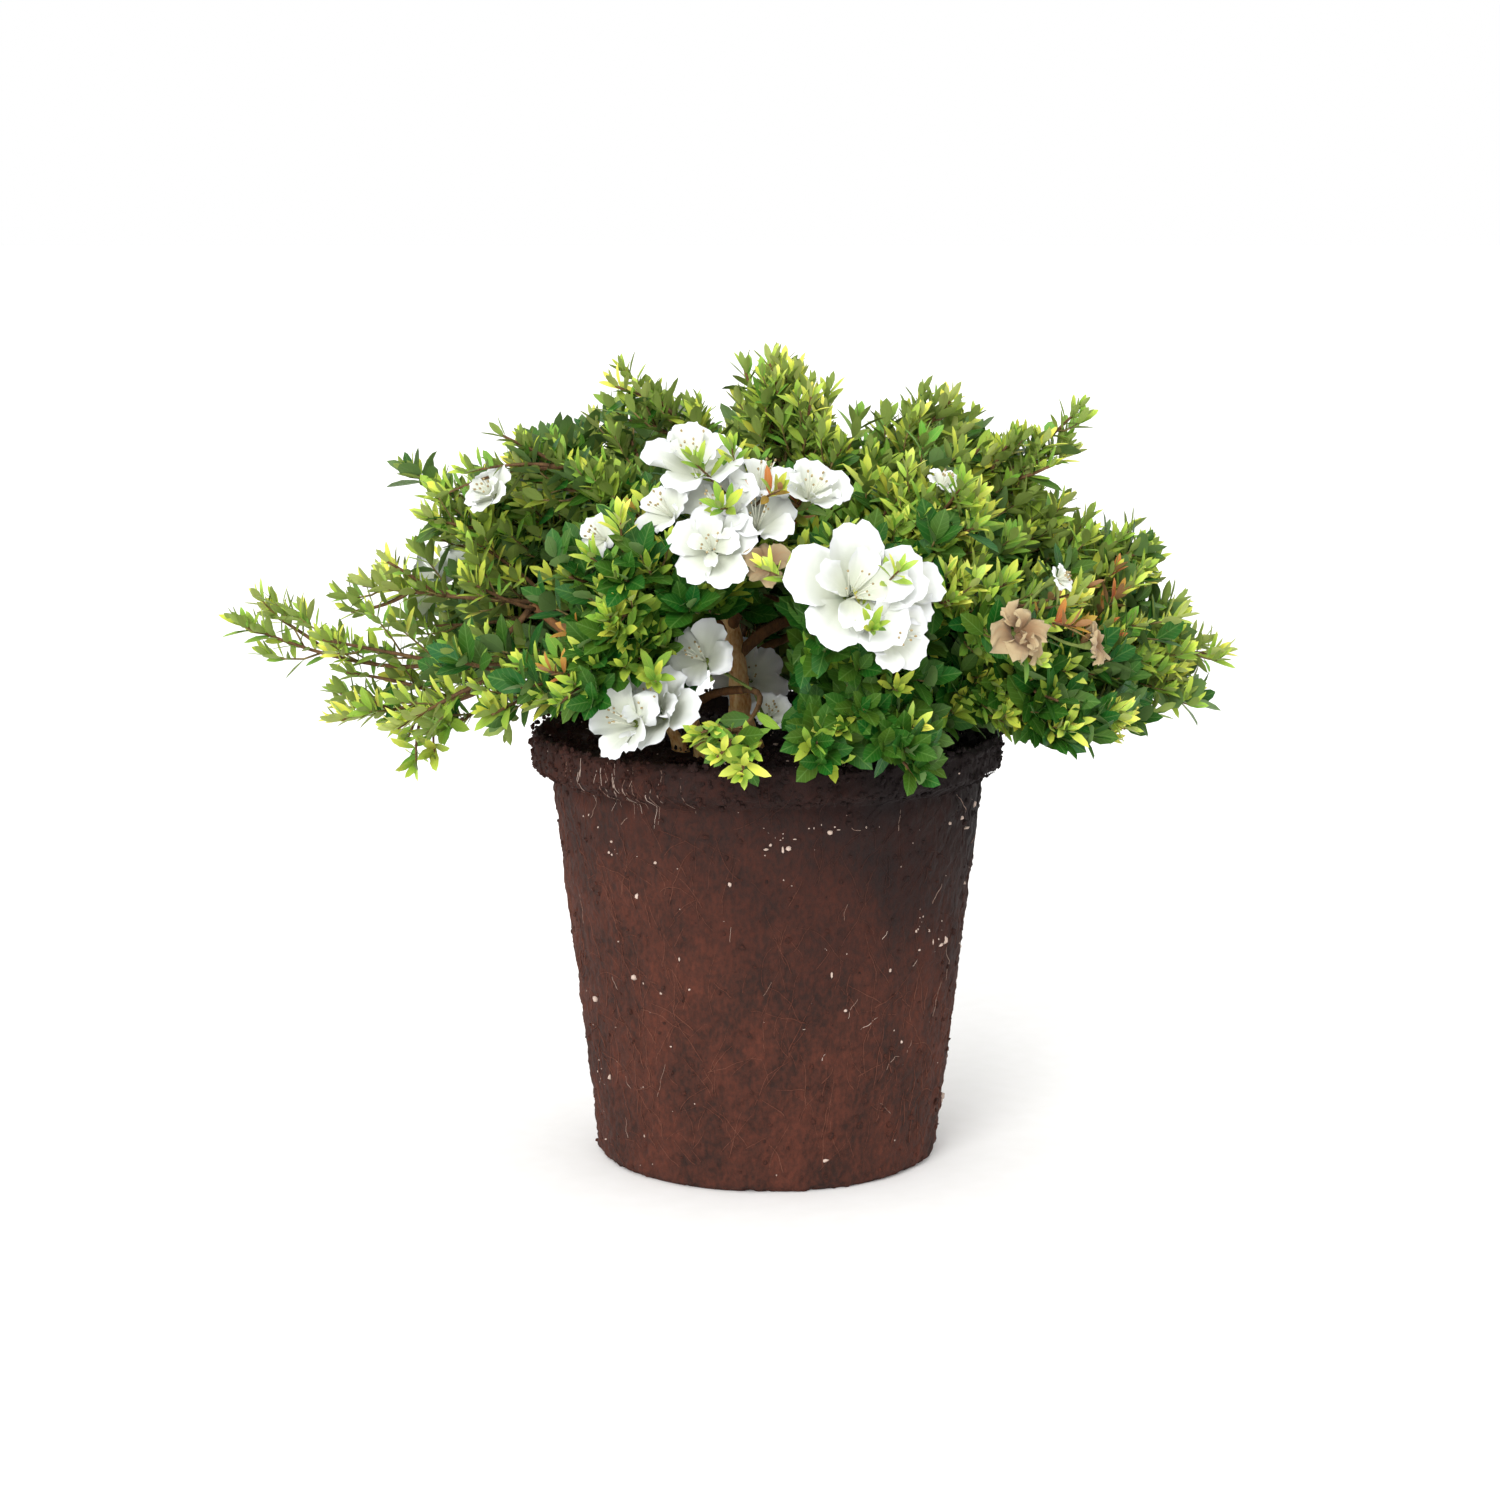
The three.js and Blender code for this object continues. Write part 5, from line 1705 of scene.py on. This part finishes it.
    def crumbs(self, count):
        """Loose crumbs of peat on the soil, along the collar, and a few on the side."""
        random = self.random
        top = self.top_places(count // 2)
        turn = random.uniform(0, 2 * math.pi, count // 2)
        level = BALL_HEIGHT - COLLAR_HEIGHT * random.uniform(-0.06, 1.05, count // 2)
        collar = self.ball.on_side(turn, np.minimum(level, BALL_HEIGHT - 0.001))
        side = self.side_places(count // 3)
        places = np.concatenate((top, collar, side))
        radii = self.CRUMB_RADIUS + self.CRUMB_MORE * random.random(len(places)) ** 2
        return scatter_lumps(random, places, radii, self.CRUMB_UNEVEN)


# Wood
class BarkRelief:
    """Furrows along the limbs, knots, and a fine roughness over them."""

    def __init__(self, depth):
        self.depth = depth

    def __call__(self, points):
        furrows = ridges(points, (0.0026, 0.0026, 0.014), 11) ** 3
        knots = noise(points, 0.012, 12)
        return self.depth * (0.9 * furrows + 0.7 * knots + 0.35 * noise(points, 0.0016, 13) - 0.4)


# A limb's rings, its sides, and how far its foot stands in the soil and swells there
RING_SPACING, FEWEST_RINGS = 0.0022, 12
TRUNK_SIDES, BOUGH_SIDES = 22, 12
FOOT_DEPTH, FOOT_SWELL = 0.006, 1.15
# The depth of a bough's relief, as a share of the trunk's
BOUGH_RELIEF = 0.45
# The rings and sides of each kind of twig
TWIG_GRIDS = {SHOOT: (4, 3), SIDE_TWIG: (8, 5), LEADER: (14, 6), LONE_SHOOT: (10, 5)}


def wood_mesh(crown, depth):
    """The trunk, stems and boughs as tubes with bark relief: the trunk and the stems from the soil in
    bark whose colours are brightened with painted light, the boughs in their own darker bark.
    """
    batch = Batch()
    for name, limb in crown.limbs.items():
        trunk = name == "trunk"
        rooted = trunk or MASSES_BY_NAME[name].parent == "soil"
        shares = np.linspace(0, 1, max(FEWEST_RINGS, int(limb.curve.length / RING_SPACING)))
        spine = limb.curve.at(shares)
        radii = limb.radius(shares)
        if rooted:
            spine = np.concatenate((spine[:1] - SKYWARD * FOOT_DEPTH, spine))
            radii = np.concatenate((radii[:1] * FOOT_SWELL, radii))
        sides = TRUNK_SIDES if trunk else BOUGH_SIDES
        relief = BarkRelief(depth if trunk else depth * BOUGH_RELIEF)
        points = tube_points(spine, radii, sides, relief)
        batch.add(points, tube_triangles(len(spine), sides), int(not rooted))
    return batch


def twig_mesh(growth):
    """Every twig as a thin tube, young shoots apart from older wood."""
    batch = Batch()
    for curve, foot_radius, tip_radius, kind, _ in growth.twigs:
        rings, sides = TWIG_GRIDS[kind]
        spine = curve.at(np.linspace(0, 1, rings))
        radii = np.linspace(foot_radius, tip_radius, rings)
        batch.add(tube_points(spine, radii, sides), tube_triangles(rings, sides), int(kind == SHOOT))
    return batch


@functools.cache
def planned_plant(seed):
    """The crown's plan and its twigs, worked out once for every operator."""
    crown = Crown()
    return crown, Growth(crown, seed)


WOOD_NODES = [n for n in frame["nodes"] if n == "trunk" or n.startswith(("stem_", "bough_"))]
FOLIAGE_NODES = [n for n in frame["nodes"] if n.startswith("foliage_")]


# Settings
def length_setting(name, description, default):
    """A length that a user may change."""
    return FloatProperty(
        name=name, description=description, default=default, min=0.0,
        precision=4, unit="LENGTH", subtype="DISTANCE",
    )


def colour_setting(name, description, code):
    """A colour that a user may change."""
    return FloatVectorProperty(
        name=name, description=description, default=paint(code), size=4,
        min=0.0, max=1.0, subtype="COLOR",
    )


def count_setting(name, description, default):
    """A number of things that a user may change."""
    return IntProperty(name=name, description=description, default=default, min=0)


class RootBallSettings(bpy.types.PropertyGroup):
    """Relief, colours and small matter of the root ball"""

    relief: length_setting("Relief", "Depth of the lumps and fibres", 0.0008)
    peat_dark: colour_setting("Dark peat", "Colour in the hollows", "#291711")
    peat_light: colour_setting("Light peat", "Colour of the dry fibres", "#532C21")
    # Painted shade with moist peat: this colour darkens the ball's top and its right side
    damp_and_shade: colour_setting("Damp and shaded peat", "Colour towards the top and the right, moist and in painted shade", "#170E0E")
    root: colour_setting("Root", "Colour of the fine roots", "#6E4638")
    pale_root: colour_setting("Pale root", "Colour of the young root threads", "#A89486")
    speck: colour_setting("Speck", "Colour of the white mineral specks", "#CDB8AC")
    roots: count_setting("Roots", "Number of fine roots on the side", 900)
    specks: count_setting("Specks", "Number of mineral specks on the side", 320)
    crumbs: count_setting("Crumbs", "Number of loose crumbs", 2400)


class WoodSettings(bpy.types.PropertyGroup):
    """Relief and colours of the trunk, boughs and twigs"""

    relief: length_setting("Bark relief", "Depth of the bark's furrows", 0.0009)
    # Painted light: the trunk's bark colours are brightened beyond its own orange-brown, so that it
    # looks lit though it stands in the crown's shade
    lit_trunk_bark_dark: colour_setting("Dark trunk bark, painted lit", "Colour in the furrows", "#D2904C")
    lit_trunk_bark_light: colour_setting("Light trunk bark, painted lit", "Colour of the ridges", "#FFDDA0")
    bough_dark: colour_setting("Dark bough", "Colour of the boughs in shade", "#5E4026")
    bough_light: colour_setting("Light bough", "Colour of the boughs in light", "#8A6038")
    twig_dark: colour_setting("Dark twig", "Colour of the twigs in shade", "#4A3320")
    twig_light: colour_setting("Light twig", "Colour of the twigs in light", "#80603E")
    shoot_dark: colour_setting("Dark shoot", "Colour of the young shoots in shade", "#5A4A2A")
    shoot_light: colour_setting("Light shoot", "Colour of the young shoots in light", "#8C7A48")


class LeafSettings(bpy.types.PropertyGroup):
    """Seed and colours of the foliage"""

    seed: count_setting("Seed", "Another seed grows another crown of the same form", 5)
    fresh: colour_setting("Fresh green", "Newest rosettes", "#D8E266")
    light: colour_setting("Light green", "Outer rosettes", "#B6CA4A")
    middle: colour_setting("Mid green", "Mature leaves", "#84A83C")
    olive: colour_setting("Olive green", "Mature leaves in part shade", "#98A43C")
    deep: colour_setting("Deep green", "Broad leaves inside the crown", "#2E5A16")
    spent: colour_setting("Spent leaf", "Dead leaves", "#9E6A2C")


class FlowerSettings(bpy.types.PropertyGroup):
    """Colours of the flowers"""

    petal: colour_setting("Petal", "Open petals", "#E2E4E7")
    throat: colour_setting("Throat", "Petals towards the throat", "#D6DACA")
    wilted: colour_setting("Wilted petal", "Petals past their best", "#86694A")
    wilted_edge: colour_setting("Wilted edge", "Edges of the wilted petals", "#AE9C78")
    filament: colour_setting("Filament", "Stamens", "#EDEBDD")
    anther: colour_setting("Anther", "Tips of the stamens", "#C8B488")
    stalk: colour_setting("Stalk", "Flower stalks", "#7C8A46")


class StageSettings(bpy.types.PropertyGroup):
    """Floor, light and camera"""

    floor: colour_setting("Floor", "Colour of the floor", "#F2F1EF")
    sun: FloatProperty(
        name="Sun", description="Strength of the soft light from the front left", default=2.1, min=0.0
    )
    sky: FloatProperty(
        name="Sky", description="Strength of the light from all around", default=1.24, min=0.0
    )


# Operators
DETAILS_SEED, FLOWERS_SEED = 61, 23
TUFT_ROOTS = 26

# The leaves' pieces, with the tints in each
LEAF_PIECES = {
    "leaves_young": (FRESH, LIGHT),
    "leaves_mature": (MIDDLE, OLIVE),
    "leaves_inner": (DEEP, SPENT),
}

# Half the floor's side, the sun's spread in degrees and its direction, and the camera
FLOOR_HALF = 14.0
SUN_SPREAD = 28
SUN_DIRECTION = Vector((0.34, 0.90, -0.52))
CAMERA_PLACE = (-0.0102, -2.1254, 0.6154)
CAMERA_ANGLE = 23.12
WHITE = paint("#FFFFFF")


class BuildRootBall(bpy.types.Operator):
    """Make the root ball's soil, moulded by the pot that it grew in"""

    bl_idname = "azalea.root_ball"
    bl_label = "Root ball"

    def execute(self, context):
        looks = context.scene.azalea_ball
        soil = soil_material("Fibrous peat", looks.peat_dark, looks.peat_light, looks.damp_and_shade)
        piece = RootBall(looks.relief).make(soil)
        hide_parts("root_ball")
        return {"FINISHED"}


class BuildBallDetails(bpy.types.Operator):
    """Add fine roots, mineral specks and loose crumbs to the root ball"""

    bl_idname = "azalea.ball_details"
    bl_label = "Roots, specks and crumbs"

    def execute(self, context):
        looks = context.scene.azalea_ball
        details = BallDetails(RootBall(looks.relief), DETAILS_SEED)
        roots = details.roots(looks.roots)
        details.collar_roots(roots, TUFT_ROOTS)
        # Brown roots and loose crumbs darken with the same painted shade and moist peat towards the
        # ball's top and right
        brown = soil_material("Brown root", looks.peat_light, looks.root, looks.damp_and_shade)
        tan = mottled_material(
            "Tan root", looks.root, looks.pale_root, patch=60.0, grain=900.0, relief=0.0001
        )
        pale = mottled_material(
            "Pale root", looks.pale_root, looks.speck, patch=60.0, grain=900.0, relief=0.0001
        )
        roots.make("fine_roots", [brown, tan, pale], "root_soil")
        speck = mottled_material(
            "Mineral speck", looks.pale_root, looks.speck, patch=300.0, grain=2000.0, relief=0.0002
        )
        specks = Batch()
        specks.add(*details.specks(looks.specks))
        specks.make("mineral_specks", [speck], "root_soil")
        crumb = soil_material(
            "Loose peat", looks.peat_dark, looks.peat_light, looks.damp_and_shade, patch=120.0, grain=900.0
        )
        crumbs = Batch()
        crumbs.add(*details.crumbs(looks.crumbs))
        crumbs.make("soil_crumbs", [crumb], "root_soil", smooth=False)
        return {"FINISHED"}


class BuildWood(bpy.types.Operator):
    """Make the trunk, stems and boughs with their bark"""

    bl_idname = "azalea.wood"
    bl_label = "Trunk and boughs"

    def execute(self, context):
        looks = context.scene.azalea_wood
        crown, _ = planned_plant(context.scene.azalea_leaves.seed)
        # Painted light: the trunk and the stems from the soil take bark brightened to look lit; the
        # boughs keep their darker bark
        bark = mottled_material(
            "Bark", looks.lit_trunk_bark_dark, looks.lit_trunk_bark_light,
            patch=90.0, grain=700.0, relief=0.0006, rough=0.72, stretch=BARK_STRETCH,
        )
        young = mottled_material(
            "Bough bark", looks.bough_dark, looks.bough_light,
            patch=90.0, grain=700.0, relief=0.0005, rough=0.72, stretch=TWIG_STRETCH,
        )
        piece = wood_mesh(crown, looks.relief).make("trunk_and_boughs", [bark, young], "bark")
        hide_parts(*WOOD_NODES)
        return {"FINISHED"}


class BuildFoliage(bpy.types.Operator):
    """Grow the twigs and their leaves"""

    bl_idname = "azalea.foliage"
    bl_label = "Twigs and leaves"

    def execute(self, context):
        wood, looks = context.scene.azalea_wood, context.scene.azalea_leaves
        crown, growth = planned_plant(looks.seed)
        bark = mottled_material(
            "Twig bark", wood.twig_dark, wood.twig_light,
            patch=140.0, grain=900.0, relief=0.0002, rough=0.7, stretch=TWIG_STRETCH,
        )
        shoot = mottled_material(
            "Young shoot", wood.shoot_dark, wood.shoot_light,
            patch=160.0, grain=900.0, relief=0.0001, rough=0.6,
        )
        pieces = [twig_mesh(growth).make("twigs", [bark, shoot], "bark")]
        rib, under = paint("#A9BC58"), paint("#8A9E50")
        skins = {
            FRESH: ("Fresh leaf", looks.light, looks.fresh, paint("#CBD27A"), paint("#A8B468")),
            LIGHT: ("Light leaf", looks.middle, looks.light, rib, under),
            MIDDLE: ("Mature leaf", looks.middle, looks.middle, rib, under),
            OLIVE: ("Olive leaf", looks.olive, looks.light, rib, under),
            DEEP: ("Shaded leaf", looks.deep, looks.deep, paint("#6E9448"), paint("#6C8A50")),
            SPENT: ("Spent leaf", looks.spent, paint("#B88A3A"), paint("#C09468"), paint("#A47C54")),
        }
        foliage = Foliage(crown, growth, looks.seed + 1)
        for name, tints in LEAF_PIECES.items():
            pieces.append(foliage.make(name, tints, [leaf_material(*skins[tint]) for tint in tints]))
        for piece in pieces:
            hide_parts(*FOLIAGE_NODES)
        return {"FINISHED"}


class BuildFlowers(bpy.types.Operator):
    """Make the white flowers, the wilted ones, and their stamens and stalks"""

    bl_idname = "azalea.flowers"
    bl_label = "Flowers"

    def execute(self, context):
        looks = context.scene.azalea_flowers
        crown, growth = planned_plant(context.scene.azalea_leaves.seed)
        petals = Petals(crown, growth, FLOWERS_SEED)
        white = petal_material(
            "Petal", looks.throat, looks.petal, paint("#E6E6DC"),
            rough=0.5, variation=0.12, translucence=0.25,
        )
        tan = petal_material(
            "Wilted petal", looks.wilted, looks.wilted_edge, paint("#A87850"),
            rough=0.75, variation=0.5, translucence=0.1,
        )
        petals.map_petals(petals.white.make("flowers", [white], "blossom"))
        petals.map_petals(petals.wilted.make("wilted_flowers", [tan], "blossom"))
        filament = mottled_material(
            "Filament", looks.throat, looks.filament, patch=300.0, grain=900.0, relief=0.0001
        )
        anther = mottled_material(
            "Anther", paint("#7A6A48"), looks.anther, patch=500.0, grain=1500.0, relief=0.0001
        )
        petals.stamens.make("stamens", [filament, anther], "blossom")
        stalk = mottled_material(
            "Flower stalk", paint("#5E6E34"), looks.stalk, patch=200.0, grain=900.0, relief=0.0001
        )
        petals.stalks.make("flower_stalks", [stalk], "foliage")
        return {"FINISHED"}


class BuildStage(bpy.types.Operator):
    """Lay the floor and place the lights and the camera"""

    bl_idname = "azalea.stage"
    bl_label = "Floor, lights and camera"

    def execute(self, context):
        looks = context.scene.azalea_stage
        mesh = bpy.data.meshes.new("floor")
        half = FLOOR_HALF
        corners = [(-half, -half, 0), (half, -half, 0), (half, half, 0), (-half, half, 0)]
        mesh.from_pydata(corners, [], [(0, 1, 2, 3)])
        floor = add_object("floor", mesh)
        paper = mottled_material(
            "Studio floor", looks.floor, paint("#F6F5F4"),
            patch=2.0, grain=60.0, relief=0.0, rough=0.75,
        )
        mesh.materials.append(paper)
        floor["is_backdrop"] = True
        world = bpy.data.worlds.new("Studio")
        world.use_nodes = True
        context.scene.world = world
        context.scene.view_settings.view_transform = "Standard"
        world.node_tree.nodes.clear()
        nodes = Nodes(world.node_tree)
        seen = nodes.add("ShaderNodeLightPath").outputs["Is Camera Ray"]
        lighting = nodes.add("ShaderNodeBackground", {"Color": WHITE, "Strength": looks.sky})
        backdrop = nodes.add("ShaderNodeBackground", {"Color": WHITE, "Strength": 1.0})
        shown = {0: seen, 1: lighting.outputs[0], 2: backdrop.outputs[0]}
        both = nodes.add("ShaderNodeMixShader", shown)
        nodes.add("ShaderNodeOutputWorld", {"Surface": both.outputs[0]})
        sun = bpy.data.lights.new("sun", "SUN")
        sun.energy, sun.angle = looks.sun, math.radians(SUN_SPREAD)
        holder = add_object("sun", sun)
        holder.rotation_euler = SUN_DIRECTION.to_track_quat("-Z", "Y").to_euler()
        view = bpy.data.cameras.new("camera")
        view.angle = math.radians(CAMERA_ANGLE)
        camera = add_object("camera", view)
        camera.location = CAMERA_PLACE
        camera.rotation_euler = (math.radians(90 - CAMERA_DIP), 0, 0)
        context.scene.camera = camera
        return {"FINISHED"}


OPERATORS = (BuildRootBall, BuildBallDetails, BuildWood, BuildFoliage, BuildFlowers, BuildStage)
SETTINGS = {
    "azalea_ball": RootBallSettings,
    "azalea_wood": WoodSettings,
    "azalea_leaves": LeafSettings,
    "azalea_flowers": FlowerSettings,
    "azalea_stage": StageSettings,
}


class AzaleaPanel(bpy.types.Panel):
    """Sizes, colours and building steps of the azalea"""

    bl_idname = "VIEW3D_PT_azalea"
    bl_label = "Azalea"
    bl_space_type = "VIEW_3D"
    bl_region_type = "UI"
    bl_category = "Azalea"

    def draw(self, context):
        layout = self.layout
        for name, kind in SETTINGS.items():
            box = layout.box()
            settings = getattr(context.scene, name)
            for field in kind.__annotations__:
                box.prop(settings, field)
        for operator in OPERATORS:
            layout.operator(operator.bl_idname)


def register():
    for kind in (*SETTINGS.values(), *OPERATORS, AzaleaPanel):
        bpy.utils.register_class(kind)
    for name, kind in SETTINGS.items():
        setattr(bpy.types.Scene, name, PointerProperty(type=kind))


def unregister():
    for name in SETTINGS:
        delattr(bpy.types.Scene, name)
    for kind in (AzaleaPanel, *reversed(OPERATORS), *reversed(SETTINGS.values())):
        bpy.utils.unregister_class(kind)


def main():
    register()
    bpy.ops.azalea.root_ball()
    bpy.ops.azalea.ball_details()
    bpy.ops.azalea.wood()
    bpy.ops.azalea.foliage()
    bpy.ops.azalea.flowers()
    bpy.ops.azalea.stage()
    sizes = {"cad": cad_box, "visual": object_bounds()}
    sizes = {name: [list(corner) for corner in box] for name, box in sizes.items()}


if __name__ == "__main__":
    main()
